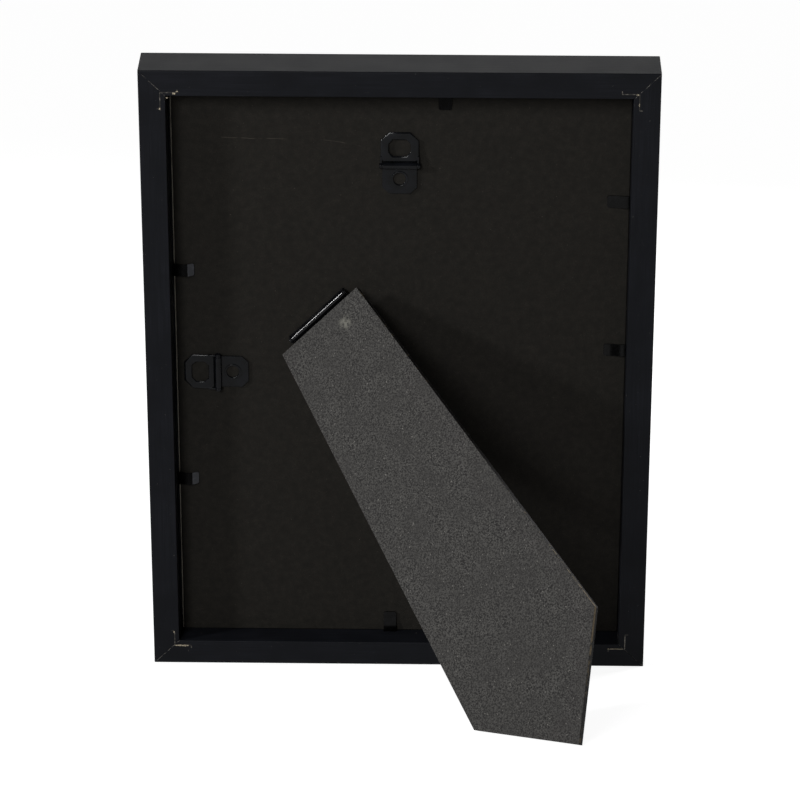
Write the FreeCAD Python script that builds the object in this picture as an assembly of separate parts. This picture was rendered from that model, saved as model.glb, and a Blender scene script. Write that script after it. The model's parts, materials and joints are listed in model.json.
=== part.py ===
import FreeCAD, Part
import math
import os

from FreeCAD import Placement, Rotation, Vector

# Easel back photo frame for an 18 by 24 cm picture, in millimetres.
# The pieces are drawn in upright frame axes and leaned back onto the floor at the end.
# Upright axes: +X to the right seen from the front, +Y out of the back, +Z up the frame,
# with zero at the middle of the width, on the back face of the rails, at the bottom face.

# Picture package
picture_width = 180.0
picture_height = 240.0
insert_gap = 1.0
board_growth = 0.9  # the board is larger than the glass towards the walls that it stands on and leans on
glass_thickness = 2.0
sheet_thickness = 0.3
board_thickness = 2.8

# Moulding
rail_width = 10.5
rail_depth = 20.0
lip_overlap = 5.5
lip_thickness = 4.4
outer_back_radius = 0.5
outer_front_radius = 0.8
lip_edge_radius = 0.6
rebate_edge_radius = 0.3

# V-nails that pull the mitres together
nail_inset = 8.3
nail_leg = 6.8
nail_hook = 1.3
nail_gauge = 0.4
nail_height = 10.0
nail_proud = 0.05

# Flexible tabs that hold the board down
tab_width = 5.2
tab_length = 9.0
tab_gauge = 0.5
tab_anchor_depth = 5.0
tab_slot_height = 1.0
tab_root_gap = 0.1
tab_seat_gap = 0.1
tab_corner = 0.8
flat_crest_share = 0.0
bent_crest_share = 0.6

# Places of the tabs along their rails, from the middle of the rail
top_tab_place = -17.8
bottom_tab_place = 3.8
left_upper_tab_place = 43.0
left_lower_tab_place = -50.1
right_upper_tab_place = 73.6
right_lower_tab_place = 9.0

# Strap hangers, their pins placed from the rebate's walls and the middle height
hanger_width = 13.6
hanger_length = 12.2
hanger_gauge = 0.7
hanger_corner = 2.6
hanger_rivet_place = 5.9
hanger_pin_radius = 0.7
hanger_head_radius = 1.05
hanger_head_length = 0.4
loop_width = 15.0
loop_reach = 13.8
loop_band = 3.1
loop_near_bar = 2.3
loop_gauge = 0.9
loop_chamfer = 3.4
loop_hole_chamfer = 1.7
loop_bevel = 0.3
loop_ear_gauge = 0.7
loop_ear_radius = 1.3
loop_rest_gap = 0.05
top_hanger_drop = 32.3
side_hanger_inset = 17.9
side_hanger_place_z = -1.9

# Eyelets that hold the hangers, driven into the board from the back
tube_radius = 2.8
tube_wall = 0.35
tube_rim_radius = 3.3
tube_rim_height = 0.35
tube_depth = 1.9

# Strut hinge, placed from the middle of the frame
hinge_angle = 45.0
hinge_place_x = 32.5
hinge_place_z = 23.6
hinge_pin_radius = 0.7
hinge_head_radius = 1.2
hinge_head_length = 0.5
board_leaf_gauge = 0.7
board_leaf_length = 21.0
leg_leaf_gauge = 0.6
leg_leaf_length = 15.6
knuckle_length = 28.9
ear_gauge = 0.7
ear_radius = 1.4
leaf_corner = 2.5
stop_tail_width = 8.0
stop_tail_length = 1.4
side_clearance = 0.15
running_clearance = 0.05
leaf_clearance = 0.1

# Solid rivets of the strut hinge
rivet_radius = 1.5
rivet_head_radius = 2.6
rivet_head_thickness = 0.5
rivet_tail_radius = 2.5
rivet_tail_thickness = 0.4
rivet_spacing = 18.6
leg_rivet_place = 11.6
board_rivet_place = 17.0

# Leg
leg_thickness = 2.8
facing_thickness = 0.2
leg_top_width = 42.2
leg_top_place = 3.1
leg_taper = 4.25
leg_open_angle = 46.6
bump_radius = 3.4
bump_height = 0.3
portrait_lean = 18.6
landscape_lean = 11.5

# Length by which every cutting tool runs past what it cuts
overrun = 1.0

# Sideways drift, as a share of its length, below which an edge counts as upright
straightness_share = 1e-3

# Sizes that follow
rebate_width = picture_width + 2 * insert_gap
rebate_height = picture_height + 2 * insert_gap
frame_width = rebate_width + 2 * rail_width
frame_height = rebate_height + 2 * rail_width
lip_back = rail_depth - lip_thickness
recess = lip_back - glass_thickness - sheet_thickness - board_thickness
mid_height = frame_height / 2
half_width = frame_width / 2

across = Vector(1, 0, 0)
out = Vector(0, 1, 0)
up = Vector(0, 0, 1)


def block(low, high):
    """Box between two opposite corners, given in any order."""
    corner = Vector(*[min(a, b) for a, b in zip(low, high)])
    size = [abs(b - a) for a, b in zip(low, high)]
    return Part.makeBox(size[0], size[1], size[2], corner)


def cylinder(radius, base, direction, length):
    return Part.makeCylinder(radius, length, base, direction)


def outline(corners, radii):
    """Face in the XY plane through the corners, each rounded by its own radius."""
    count = len(corners)
    starts, ends, middles = [], [], []
    for i in range(count):
        here = Vector(*corners[i])
        before = (Vector(*corners[i - 1]) - here).normalize()
        after = (Vector(*corners[(i + 1) % count]) - here).normalize()
        half = before.getAngle(after) / 2
        reach = radii[i] / math.tan(half)
        starts.append(here + before * reach)
        ends.append(here + after * reach)
        inward = (before + after).normalize()
        middles.append(here + inward * (radii[i] / math.sin(half) - radii[i]))
    edges = []
    for i in range(count):
        if radii[i] > 0:
            edges.append(Part.Arc(starts[i], middles[i], ends[i]).toShape())
        edges.append(Part.LineSegment(ends[i], starts[(i + 1) % count]).toShape())
    return Part.Face(Part.Wire(edges))


def plate(corners, radii, low, high):
    """Flat plate with the given outline in XY, between two heights."""
    face = outline(corners, radii)
    face.translate(Vector(0, 0, low))
    return face.extrude(Vector(0, 0, high - low))


def fused(shapes):
    whole = shapes[0]
    for shape in shapes[1:]:
        whole = whole.fuse(shape)
    return whole.removeSplitter()


def axes_at(origin, away, outward):
    """Placement of flat pieces: Y runs away from the origin, Z stands out of the sheet."""
    return Placement(origin, Rotation(away.cross(outward), away, outward, "XYZ"))


def placed(shape, placement):
    copy = shape.copy()
    copy.Placement = placement.multiply(copy.Placement)
    return copy


def on_board(x, z):
    """Point of the board's back face."""
    return Vector(x, -recess, z)


# Moulding rails
def rail_section():
    """Section of the moulding: X runs inward from the outer face, Y is the depth from the back."""
    corners = [
        (0, 0), (0, rail_depth), (rail_width + lip_overlap, rail_depth),
        (rail_width + lip_overlap, lip_back), (rail_width, lip_back), (rail_width, 0),
    ]
    radii = [outer_back_radius, outer_front_radius, lip_edge_radius, 0, 0, rebate_edge_radius]
    return outline(corners, radii)


def rail(length, place):
    """Rail of the given outer length, mitred at both ends, with its outer face down."""
    run = length / 2
    section = rail_section()
    section.Placement = Placement(
        Vector(-run, 0, 0), Rotation(up, out * -1, across, "XYZ")
    )
    bar = section.extrude(across * length)
    front_width = rail_width + lip_overlap
    mask_corners = [(-run, 0), (run, 0), (run - front_width, front_width), (front_width - run, front_width)]
    mask = plate(mask_corners, [0] * len(mask_corners), -overrun, rail_depth + overrun)
    mask.Placement = Placement(Vector(0, 0, 0), Rotation(across, up, out * -1, "XYZ"))
    return placed(bar.common(mask), place)


def rail_places():
    """Length, middle of the outer face and inward direction of each rail."""
    return {
        "bottom_rail": (frame_width, Vector(0, 0, 0), up),
        "top_rail": (frame_width, Vector(0, 0, frame_height), up * -1),
        "left_rail": (frame_height, Vector(half_width, 0, mid_height), across * -1),
        "right_rail": (frame_height, Vector(-half_width, 0, mid_height), across),
    }


def make_rails():
    rails = {}
    for name, (length, middle, inward) in rail_places().items():
        turn = Rotation(out.cross(inward), out, inward, "XYZ")
        rails[name] = rail(length, Placement(middle, turn))
    return rails


# V-nails
def v_nail(x, z, inward_x, inward_z):
    """V of thin strip with hooked ends, its point towards the outer corner of the frame."""
    deep = nail_proud - nail_height
    half = nail_gauge / 2

    def strip(low, high):
        start = (x + inward_x * (low[0] - half), nail_proud, z + inward_z * (low[1] - half))
        end = (x + inward_x * (high[0] + half), deep, z + inward_z * (high[1] + half))
        return block(start, end)

    near = nail_inset
    far = nail_inset + nail_leg
    hook = nail_inset + nail_hook
    pieces = [
        strip((near, near), (far, near)),
        strip((near, near), (near, far)),
        strip((far, near), (far, hook)),
        strip((near, far), (hook, far)),
    ]
    return fused(pieces)


def make_v_nails():
    nails = []
    for side in (1, -1):
        nails.append(v_nail(side * half_width, 0, -side, 1))
        nails.append(v_nail(side * half_width, frame_height, -side, -1))
    return nails


# Flexible tabs
def tab_table():
    """Point of the rebate wall, direction off the wall and crest share of each tab."""
    low = rail_width
    high = frame_height - rail_width
    wall = rebate_width / 2
    return {
        "top_tab": (on_board(top_tab_place, high), up * -1, flat_crest_share),
        "bottom_tab": (on_board(bottom_tab_place, low), up, flat_crest_share),
        "left_upper_tab": (on_board(wall, mid_height + left_upper_tab_place), across * -1, bent_crest_share),
        "left_lower_tab": (on_board(wall, mid_height + left_lower_tab_place), across * -1, bent_crest_share),
        "right_upper_tab": (on_board(-wall, mid_height + right_upper_tab_place), across, flat_crest_share),
        "right_lower_tab": (on_board(-wall, mid_height + right_lower_tab_place), across, flat_crest_share),
    }


def strip_along(points, gauge, width):
    """Strip of one gauge that follows points in the YZ plane, centred on X."""
    pieces = []
    for start, end in zip(points, points[1:]):
        a = Vector(0, *start)
        b = Vector(0, *end)
        run = b - a
        length = run.Length
        bar = Part.makeBox(width, length, gauge, Vector(-width / 2, 0, -gauge / 2))
        bar.Placement = axes_at(a, run.normalize(), across.cross(run).normalize())
        pieces.append(bar)
    for point in points[:-1]:
        bend = cylinder(gauge / 2, Vector(-width / 2, *point), across, width)
        pieces.append(bend)
    return fused(pieces)


def tab_root():
    """Distance off the wall and height above the board of a tab's bend line."""
    return tab_gauge / 2 + tab_root_gap, tab_slot_height


def make_tab(place, crest_share):
    """Tab that leaves its slot, comes down and lies along the board."""
    root = tab_root()
    seat = tab_gauge / 2 + tab_seat_gap
    crest_height = tab_slot_height * (1 + crest_share)
    crest_reach_share = 0.3
    foot_reach_share = 0.62
    points = [
        root,
        (tab_length * crest_reach_share, crest_height),
        (tab_length * foot_reach_share, seat),
        (tab_length, seat),
    ]
    strip = strip_along(points, tab_gauge, tab_width)
    half = tab_width / 2
    top = crest_height + tab_gauge + overrun
    corners = [(-half, -overrun), (half, -overrun), (half, tab_length), (-half, tab_length)]
    trimmed = strip.common(plate(corners, [0, 0, tab_corner, tab_corner], -overrun, top))
    return placed(trimmed, place)


def make_tab_anchor(place):
    """Part of a tab that is driven into the rail."""
    low = Vector(-tab_width / 2, -tab_anchor_depth, tab_slot_height - tab_gauge / 2)
    return placed(Part.makeBox(tab_width, tab_anchor_depth, tab_gauge, low), place)


# Strap hangers
def hanger_axis_height():
    return hanger_pin_radius + running_clearance + hanger_gauge


def make_hanger_plate(place):
    """Plate with one edge rolled round the pin; Y points to the loop, Z is zero on the board."""
    height = hanger_axis_height()
    half = hanger_width / 2
    corners = [(-half, 0), (-half, -hanger_length), (half, -hanger_length), (half, 0)]
    blank = outline(corners, [0, 0, 0, 0])
    strap = blank.extrude(Vector(0, 0, hanger_gauge))
    far = [edge for edge in strap.Edges if is_upright(edge) and edge.CenterOfMass.y < -hanger_length / 2]
    strap = strap.makeChamfer(hanger_corner, far)
    axis_start = Vector(-half, 0, height)
    roll = cylinder(height, axis_start, across, hanger_width)
    bore = cylinder(hanger_pin_radius + running_clearance, axis_start, across, hanger_width)
    seam = block(
        (-half, -height - overrun, hanger_gauge), (half, -hanger_pin_radius, height - hanger_pin_radius)
    )
    body = fused([strap, roll]).cut(bore).cut(seam)
    rivet_hole = cylinder(tube_radius, Vector(0, -hanger_rivet_place, -overrun), up, hanger_gauge + 2 * overrun)
    return placed(body.cut(rivet_hole).removeSplitter(), place)


def is_upright(edge):
    """True for a straight edge along Z."""
    box = edge.BoundBox
    return box.XLength + box.YLength < box.ZLength * straightness_share


def make_hanger_pin(place):
    """Pin with a headed end outside each ear of the loop."""
    height = hanger_axis_height()
    half = hanger_width / 2 + side_clearance + loop_ear_gauge + running_clearance
    shank = cylinder(hanger_pin_radius, Vector(-half, 0, height), across, 2 * half)
    pieces = [shank]
    for side in (-1, 1):
        start = Vector(side * half, 0, height)
        pieces.append(cylinder(hanger_head_radius, start, across * side, hanger_head_length))
    return placed(fused(pieces), place)


def chamfered(half, low, high, chamfer):
    """Corners of a rectangle with all four corners cut off."""
    return [
        (-half + chamfer, low), (half - chamfer, low), (half, low + chamfer), (half, high - chamfer),
        (half - chamfer, high), (-half + chamfer, high), (-half, high - chamfer), (-half, low + chamfer),
    ]


def make_loop_flat():
    """Stamped ring with two pierced ears, its pin axis on X and its middle plane on XY."""
    half = loop_width / 2
    knuckle = hanger_axis_height()
    near = knuckle + side_clearance
    low_chamfer = loop_near_bar / 2
    rim = [
        (-half + low_chamfer, near), (half - low_chamfer, near), (half, near + low_chamfer),
        (half, loop_reach - loop_chamfer), (half - loop_chamfer, loop_reach),
        (-half + loop_chamfer, loop_reach), (-half, loop_reach - loop_chamfer), (-half, near + low_chamfer),
    ]
    bottom = -loop_gauge / 2
    top = loop_gauge / 2
    ring = plate(rim, [0] * len(rim), bottom, top)
    hole_low = near + loop_near_bar
    hole_high = loop_reach - loop_band
    hole = chamfered(half - loop_band, hole_low, hole_high, loop_hole_chamfer)
    ring = ring.cut(plate(hole, [0] * len(hole), bottom - overrun, top + overrun))
    crown = [edge for edge in ring.Edges if edge.BoundBox.ZMin > bottom / 2]
    ring = ring.makeChamfer(loop_bevel, crown)
    pieces = [ring]
    inner = hanger_width / 2 + side_clearance
    for side in (-1, 1):
        ear = cylinder(loop_ear_radius, Vector(side * inner, 0, 0), across * side, loop_ear_gauge)
        arm = block((side * inner, 0, bottom), (side * (inner + loop_ear_gauge), hole_low, top))
        pieces.extend([ear, arm])
    whole = fused(pieces)
    bore_radius = hanger_pin_radius + running_clearance
    return whole.cut(cylinder(bore_radius, Vector(-half - overrun, 0, 0), across, loop_width + 2 * overrun))


def loop_droop():
    """Angle by which the loop's tip comes down to rest on the board."""
    drop = hanger_axis_height() - loop_rest_gap
    reach = math.hypot(loop_reach, loop_gauge / 2)
    return math.degrees(math.asin(drop / reach) - math.atan2(loop_gauge / 2, loop_reach))


def make_hanger_loop(place):
    droop = Placement(Vector(0, 0, hanger_axis_height()), Rotation(across, -loop_droop()))
    return placed(make_loop_flat(), place.multiply(droop))


def make_tube_rivet(place):
    """Eyelet: a rim over the hanger plate and a tube driven into the board round a core of it."""
    rim_low = hanger_gauge
    rim_high = hanger_gauge + tube_rim_height
    bevel = tube_rim_height / 2
    bore = tube_radius - tube_wall
    corners = [
        (bore, -tube_depth), (tube_radius, -tube_depth), (tube_radius, rim_low), (tube_rim_radius, rim_low),
        (tube_rim_radius, rim_high - bevel), (tube_rim_radius - bevel, rim_high),
        (bore + bevel, rim_high), (bore, rim_high - bevel),
    ]
    section = outline(corners, [0] * len(corners))
    section.Placement = Placement(Vector(0, 0, 0), Rotation(across, up, out * -1, "XYZ"))
    body = section.revolve(Vector(0, 0, 0), up, 360)
    return placed(body, place.multiply(Placement(Vector(0, -hanger_rivet_place, 0), Rotation())))


def tube_rivet_groove(place):
    """Ring that an eyelet's tube cuts into the board."""
    spot = Vector(0, -hanger_rivet_place, -tube_depth)
    reach = tube_depth + overrun
    core = cylinder(tube_radius - tube_wall, spot, up, reach)
    return placed(cylinder(tube_radius, spot, up, reach).cut(core), place)


# Strut hinge, drawn with its pin on X, the leaf on +Y and the board's back face at minus its height
def hinge_axis_height():
    return board_leaf_gauge + leaf_clearance + running_clearance + hinge_pin_radius + leg_leaf_gauge


def knuckle_radius():
    return hinge_pin_radius + running_clearance + leg_leaf_gauge


def rivet_spots(reach):
    return [Vector(-rivet_spacing / 2, reach, 0), Vector(rivet_spacing / 2, reach, 0)]


def make_board_leaf(place):
    """Leaf on the board with an ear turned up at each end of the knuckle."""
    height = hinge_axis_height()
    half = knuckle_length / 2 + side_clearance + ear_gauge
    low = -height
    corners = [
        (-half, -ear_radius), (half, -ear_radius), (half, board_leaf_length), (-half, board_leaf_length),
    ]
    pieces = [plate(corners, [0, 0, leaf_corner, leaf_corner], low, low + board_leaf_gauge)]
    for side in (-1, 1):
        inner = side * (half - ear_gauge)
        pieces.append(block((inner, -ear_radius, low), (side * half, ear_radius, 0)))
        pieces.append(cylinder(ear_radius, Vector(inner, 0, 0), across * side, ear_gauge))
    body = fused(pieces)
    reach = half + overrun
    body = body.cut(cylinder(hinge_pin_radius, Vector(-reach, 0, 0), across, 2 * reach))
    for spot in rivet_spots(board_rivet_place):
        body = body.cut(cylinder(rivet_radius, spot - up * (height + overrun), up, height))
    return placed(body, place)


def make_hinge_pin(place):
    half = knuckle_length / 2 + side_clearance + ear_gauge
    pieces = [cylinder(hinge_pin_radius, Vector(-half, 0, 0), across, 2 * half)]
    for side in (-1, 1):
        pieces.append(cylinder(hinge_head_radius, Vector(side * half, 0, 0), across * side, hinge_head_length))
    return placed(fused(pieces), place)


def make_leg_leaf(place):
    """Leaf on the leg, rolled round the pin, with a tail that stops it against the board's leaf."""
    half = knuckle_length / 2
    radius = knuckle_radius()
    corners = [(-half, 0), (half, 0), (half, leg_leaf_length), (-half, leg_leaf_length)]
    sheet = plate(corners, [0, 0, leaf_corner, leaf_corner], -radius, leg_leaf_gauge - radius)
    roll = cylinder(radius, Vector(-half, 0, 0), across, knuckle_length)
    tail_half = stop_tail_width / 2
    tail = block((-tail_half, -stop_tail_length, -radius), (tail_half, 0, leg_leaf_gauge - radius))
    tail.rotate(Vector(0, 0, 0), across, -leg_open_angle)
    body = fused([sheet, roll, tail])
    bore_radius = hinge_pin_radius + running_clearance
    body = body.cut(cylinder(bore_radius, Vector(-half - overrun, 0, 0), across, knuckle_length + 2 * overrun))
    for spot in rivet_spots(leg_rivet_place):
        body = body.cut(cylinder(rivet_radius, spot - up * (radius + overrun), up, leg_leaf_gauge + 2 * overrun))
    return placed(body, place)


def make_board_rivet(place, spot):
    """Rivet with its head on the leaf and its tail sunk in the board's front face."""
    leaf_top = board_leaf_gauge - hinge_axis_height()
    board_front = -hinge_axis_height() - board_thickness
    head = cylinder(rivet_head_radius, spot + up * leaf_top, up, rivet_head_thickness)
    shank = cylinder(rivet_radius, spot + up * board_front, up, leaf_top - board_front)
    tail = cylinder(rivet_tail_radius, spot + up * board_front, up, rivet_tail_thickness)
    return placed(fused([head, shank, tail]), place)


def board_rivet_hole(place, spot):
    board_front = -hinge_axis_height() - board_thickness
    shank = cylinder(rivet_radius, spot + up * board_front, up, board_thickness + overrun)
    tail = cylinder(
        rivet_tail_radius, spot + up * (board_front - overrun), up, rivet_tail_thickness + overrun
    )
    return placed(shank.fuse(tail), place)


# Leg
def leg_inner():
    """Height of the leg's inner face over the pin, on the leaf that carries it."""
    return leg_leaf_gauge - knuckle_radius()


def leg_outer():
    return leg_inner() + leg_thickness


def core_outer():
    """Height of the core under the outer facing."""
    return leg_outer() - facing_thickness


def make_leg_rivet(place, spot):
    """Rivet with its head on the leaf and its tail pressed in under the outer facing."""
    leaf_low = -knuckle_radius()
    head = cylinder(rivet_head_radius, spot + up * leaf_low, up * -1, rivet_head_thickness)
    shank = cylinder(rivet_radius, spot + up * leaf_low, up, core_outer() - leaf_low)
    tail = cylinder(rivet_tail_radius, spot + up * core_outer(), up * -1, rivet_tail_thickness)
    return placed(fused([head, shank, tail]), place)


def leg_rivet_hole(spot):
    """Hole for a leg rivet, drawn in the leg's own axes."""
    start = leg_inner() - overrun
    shank = cylinder(rivet_radius, spot + up * start, up, core_outer() - start)
    tail = cylinder(rivet_tail_radius, spot + up * core_outer(), up * -1, rivet_tail_thickness)
    return shank.fuse(tail)


def arris_floor(side_point, inward, lean):
    """Floor under a rounded back arris: its normal and one point, in upright axes."""
    normal = inward * math.cos(math.radians(lean)) - out * math.sin(math.radians(lean))
    centre = side_point + (inward - out) * outer_back_radius
    return normal, centre - normal * outer_back_radius


def floor_line(place, normal, point):
    """Line a x + b y = c in which a floor cuts the leg's inner face, in the leg's axes."""
    x_axis = place.Rotation.multVec(across)
    y_axis = place.Rotation.multVec(out)
    z_axis = place.Rotation.multVec(up)
    start = place.Base + z_axis * leg_inner()
    return x_axis.dot(normal), y_axis.dot(normal), (point - start).dot(normal)


def meet(first, second):
    """Point where two lines a x + b y = c cross."""
    a, b, c = first
    d, e, f = second
    whole = a * e - b * d
    return (c * e - b * f) / whole, (a * f - c * d) / whole


def leg_corners():
    """Outline of the leg: top edge, two tapering sides and a foot edge for each way up."""
    half = leg_top_width / 2
    slope = math.tan(math.radians(leg_taper))
    reach = half - slope * leg_top_place
    place = leg_place()
    portrait = floor_line(place, *portrait_floor())
    landscape = floor_line(place, *landscape_floor())
    portrait_side = (1, -slope, reach)
    landscape_side = (1, slope, -reach)
    return [
        (-half, leg_top_place), (half, leg_top_place), meet(portrait_side, portrait),
        meet(portrait, landscape), meet(landscape, landscape_side),
    ]


def make_leg():
    """Core and two facings of the leg, in upright frame axes."""
    corners = leg_corners()
    square = [0] * len(corners)
    inner = leg_inner()
    core = plate(corners, square, inner + facing_thickness, core_outer())
    inner_facing = plate(corners, square, inner, inner + facing_thickness)
    outer_facing = plate(corners, square, core_outer(), leg_outer())
    sphere_radius = (bump_radius ** 2 + bump_height ** 2) / (2 * bump_height)
    for spot in rivet_spots(leg_rivet_place):
        hole = leg_rivet_hole(spot)
        core = core.cut(hole)
        inner_facing = inner_facing.cut(hole)
        centre = spot + up * (leg_outer() + bump_height - sphere_radius)
        dome = Part.makeSphere(sphere_radius, centre)
        cap = dome.common(cylinder(bump_radius, spot + up * leg_outer(), up, bump_height))
        outer_facing = outer_facing.fuse(cap)
    place = leg_place()
    return placed(core, place), placed(inner_facing, place), placed(outer_facing, place)


# Places of the assemblies
def hinge_direction():
    """Direction along the board from the hinge to the foot of the folded leg."""
    angle = math.radians(hinge_angle)
    return across * -math.sin(angle) - up * math.cos(angle)


def hinge_origin():
    return on_board(hinge_place_x, mid_height + hinge_place_z) + out * hinge_axis_height()


def board_hinge_place():
    return axes_at(hinge_origin(), hinge_direction(), out)


def leg_place():
    """Axes of the open leg: the board's hinge axes turned up by the open angle."""
    return board_hinge_place().multiply(Placement(Vector(0, 0, 0), Rotation(across, leg_open_angle)))


def portrait_floor():
    return arris_floor(Vector(0, 0, 0), up, portrait_lean)


def landscape_floor():
    return arris_floor(Vector(-half_width, 0, 0), across, landscape_lean)


def top_hanger_place():
    return axes_at(on_board(0, frame_height - rail_width - top_hanger_drop), up, out)


def side_hanger_place():
    reach = rebate_width / 2 - side_hanger_inset
    return axes_at(on_board(reach, mid_height + side_hanger_place_z), across, out)


def make_inserts():
    """Glass, paper sheet and backing board, stacked behind the lip."""
    half = picture_width / 2
    low = rail_width + insert_gap
    high = low + picture_height
    glass_back = -lip_back + glass_thickness
    sheet_back = glass_back + sheet_thickness
    glass = block((-half, -lip_back, low), (half, glass_back, high))
    sheet = block((-half, glass_back, low), (half, sheet_back, high))
    board = block((-half - board_growth, sheet_back, low - board_growth), (half, -recess, high))
    return glass, sheet, board


def build():
    """Every node as a list of solids, in upright axes."""
    nodes = {}
    rails = make_rails()
    nails = make_v_nails()
    tabs, anchors = {}, []
    for name, (point, away, crest_share) in tab_table().items():
        place = axes_at(point, away, out)
        tabs[name] = make_tab(place, crest_share)
        anchors.append(make_tab_anchor(place))
    for name, shape in rails.items():
        for tool in nails + anchors:
            if shape.BoundBox.intersect(tool.BoundBox):
                shape = shape.cut(tool)
        nodes[name] = [shape]
    nodes["v_nails"] = nails
    nodes["tab_anchors"] = anchors
    for name, shape in tabs.items():
        nodes[name] = [shape]

    glass, sheet, board = make_inserts()
    hangers = {"top": top_hanger_place(), "side": side_hanger_place()}
    pins, rivets = [], []
    for name, place in hangers.items():
        nodes[name + "_hanger_plate"] = [make_hanger_plate(place)]
        nodes[name + "_hanger_loop"] = [make_hanger_loop(place)]
        pins.append(make_hanger_pin(place))
        rivets.append(make_tube_rivet(place))
        board = board.cut(tube_rivet_groove(place))
    nodes["hanger_pins"] = pins
    nodes["hanger_rivets"] = rivets

    hinge = board_hinge_place()
    leg = leg_place()
    board_rivets, leg_rivets = [], []
    for spot in rivet_spots(board_rivet_place):
        board_rivets.append(make_board_rivet(hinge, spot))
        board = board.cut(board_rivet_hole(hinge, spot))
    for spot in rivet_spots(leg_rivet_place):
        leg_rivets.append(make_leg_rivet(leg, spot))
    nodes["glass_pane"] = [glass]
    nodes["print_sheet"] = [sheet]
    nodes["backing_board"] = [board]
    nodes["hinge_board_leaf"] = [make_board_leaf(hinge)]
    nodes["hinge_board_rivets"] = board_rivets
    nodes["hinge_pin"] = [make_hinge_pin(hinge)]
    nodes["hinge_leg_leaf"] = [make_leg_leaf(leg)]
    nodes["hinge_leg_rivets"] = leg_rivets
    core, inner_facing, outer_facing = make_leg()
    nodes["leg_core"] = [core]
    nodes["leg_inner_facing"] = [inner_facing]
    nodes["leg_outer_facing"] = [outer_facing]
    return nodes


def lean_placement(nodes):
    """Leans the frame back about its rounded lower arris and centres its footprint on the origin."""
    turn = Rotation(across, -portrait_lean)
    centre = Vector(0, -outer_back_radius, outer_back_radius)
    leaned = Placement(up * outer_back_radius, turn).multiply(Placement(centre * -1, Rotation()))
    whole = Part.Compound([solid for solids in nodes.values() for solid in solids])
    box = placed(whole, leaned).optimalBoundingBox()
    return Placement(Vector(-box.Center.x, -box.Center.y, 0), Rotation()).multiply(leaned)


def write(nodes):
    os.makedirs("parts", exist_ok=True)
    leaned = lean_placement(nodes)
    for name, solids in nodes.items():
        shapes = [placed(solid, leaned) for solid in solids]
        shape = shapes[0] if len(shapes) == 1 else Part.Compound(shapes)
        shape.exportStep("parts/" + name + ".step")


model = build()
write(model)
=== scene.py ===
"""Looks of the easel back photo frame: its pieces, their finishes and the studio.

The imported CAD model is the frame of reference. Each piece is modelled flat in axes of
its own, in millimetres, laid in its place on the model and dressed in its finish.
"""

import json
import logging
import math
from collections.abc import Callable, Iterator, Sequence
from contextlib import contextmanager
from dataclasses import dataclass
from enum import Enum

import bmesh
import bpy
from mathutils import Matrix, Vector


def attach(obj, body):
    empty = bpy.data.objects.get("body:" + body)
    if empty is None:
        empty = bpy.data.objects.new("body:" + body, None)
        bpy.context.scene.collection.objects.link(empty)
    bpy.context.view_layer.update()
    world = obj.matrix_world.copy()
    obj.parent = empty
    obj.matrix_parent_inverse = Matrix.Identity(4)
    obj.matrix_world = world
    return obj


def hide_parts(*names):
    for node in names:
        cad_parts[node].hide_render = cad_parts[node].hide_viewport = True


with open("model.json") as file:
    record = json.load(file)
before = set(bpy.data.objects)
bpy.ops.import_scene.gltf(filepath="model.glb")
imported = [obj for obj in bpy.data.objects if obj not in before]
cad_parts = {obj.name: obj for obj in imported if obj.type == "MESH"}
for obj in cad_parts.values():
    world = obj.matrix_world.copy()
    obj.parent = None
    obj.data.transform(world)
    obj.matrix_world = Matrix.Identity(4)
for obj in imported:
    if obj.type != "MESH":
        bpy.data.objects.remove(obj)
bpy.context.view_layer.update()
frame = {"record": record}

MM = 0.001
TINY = 1e-6
SMOOTH_ANGLE = 40.0

log = logging.getLogger("easel_back_photo_frame")

Piece = bpy.types.Object
Tree = bpy.types.NodeTree
Node = bpy.types.Node
Socket = bpy.types.NodeSocket
Test = Callable[[object], bool]
Path = Sequence[tuple[float, float]]
Place = tuple[float, float, float]
Pattern = tuple[float, ...]


# Axes of the leaning frame
@dataclass(frozen=True)
class FrameAxes:
    """Upright axes of the frame, whose origin is under the middle of its back face.

    Attributes:
        across: Direction to the right, seen from the picture side.
        out: Direction out of the back.
        up: Direction up the frame.
        origin: Middle of the bottom edge of the back face, in metres.
    """

    across: Vector
    out: Vector
    up: Vector
    origin: Vector

    @classmethod
    def read(cls, record: dict, depth: float) -> "FrameAxes":
        """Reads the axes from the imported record.

        Args:
            record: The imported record.
            depth: Depth of the moulding in millimetres.

        Returns:
            The axes in which the frame stands leaned back.
        """
        joints = {joint["name"]: joint for joint in record["behaviour"]["joints"]}
        mounts = {mount["name"]: mount for mount in record["mounts"]}
        up = Vector(joints["side_loop_swing"]["axis"]).normalized()
        across = Vector((1, 0, 0))
        out = up.cross(across)
        origin = Vector(mounts["bottom_face"]["pos_m"]) + out * depth / 2 * MM
        return cls(across, out, up, origin)

    def point(self, x: float, y: float, z: float) -> Vector:
        """Turns upright millimetres into a place in metres."""
        return self.origin + (self.across * x + self.out * y + self.up * z) * MM

    def matrix(self) -> Matrix:
        """Gives the upright axes as a matrix."""
        return axes_at(self.origin, self.across, self.out, self.up)

    def lean(self) -> float:
        """Gives the angle by which the frame leans back, in radians."""
        return math.atan2(self.up.y, self.up.z)


def axes_at(origin: Vector, x_axis: Vector, y_axis: Vector, z_axis: Vector) -> Matrix:
    """Gives the matrix of three axes.

    Args:
        origin: Where they meet, in metres.
        x_axis: Direction of X.
        y_axis: Direction of Y.
        z_axis: Direction of Z.

    Returns:
        The matrix that lays a piece in these axes.
    """
    matrix = Matrix((x_axis, y_axis, z_axis)).transposed().to_4x4()
    matrix.translation = origin
    return matrix


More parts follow.
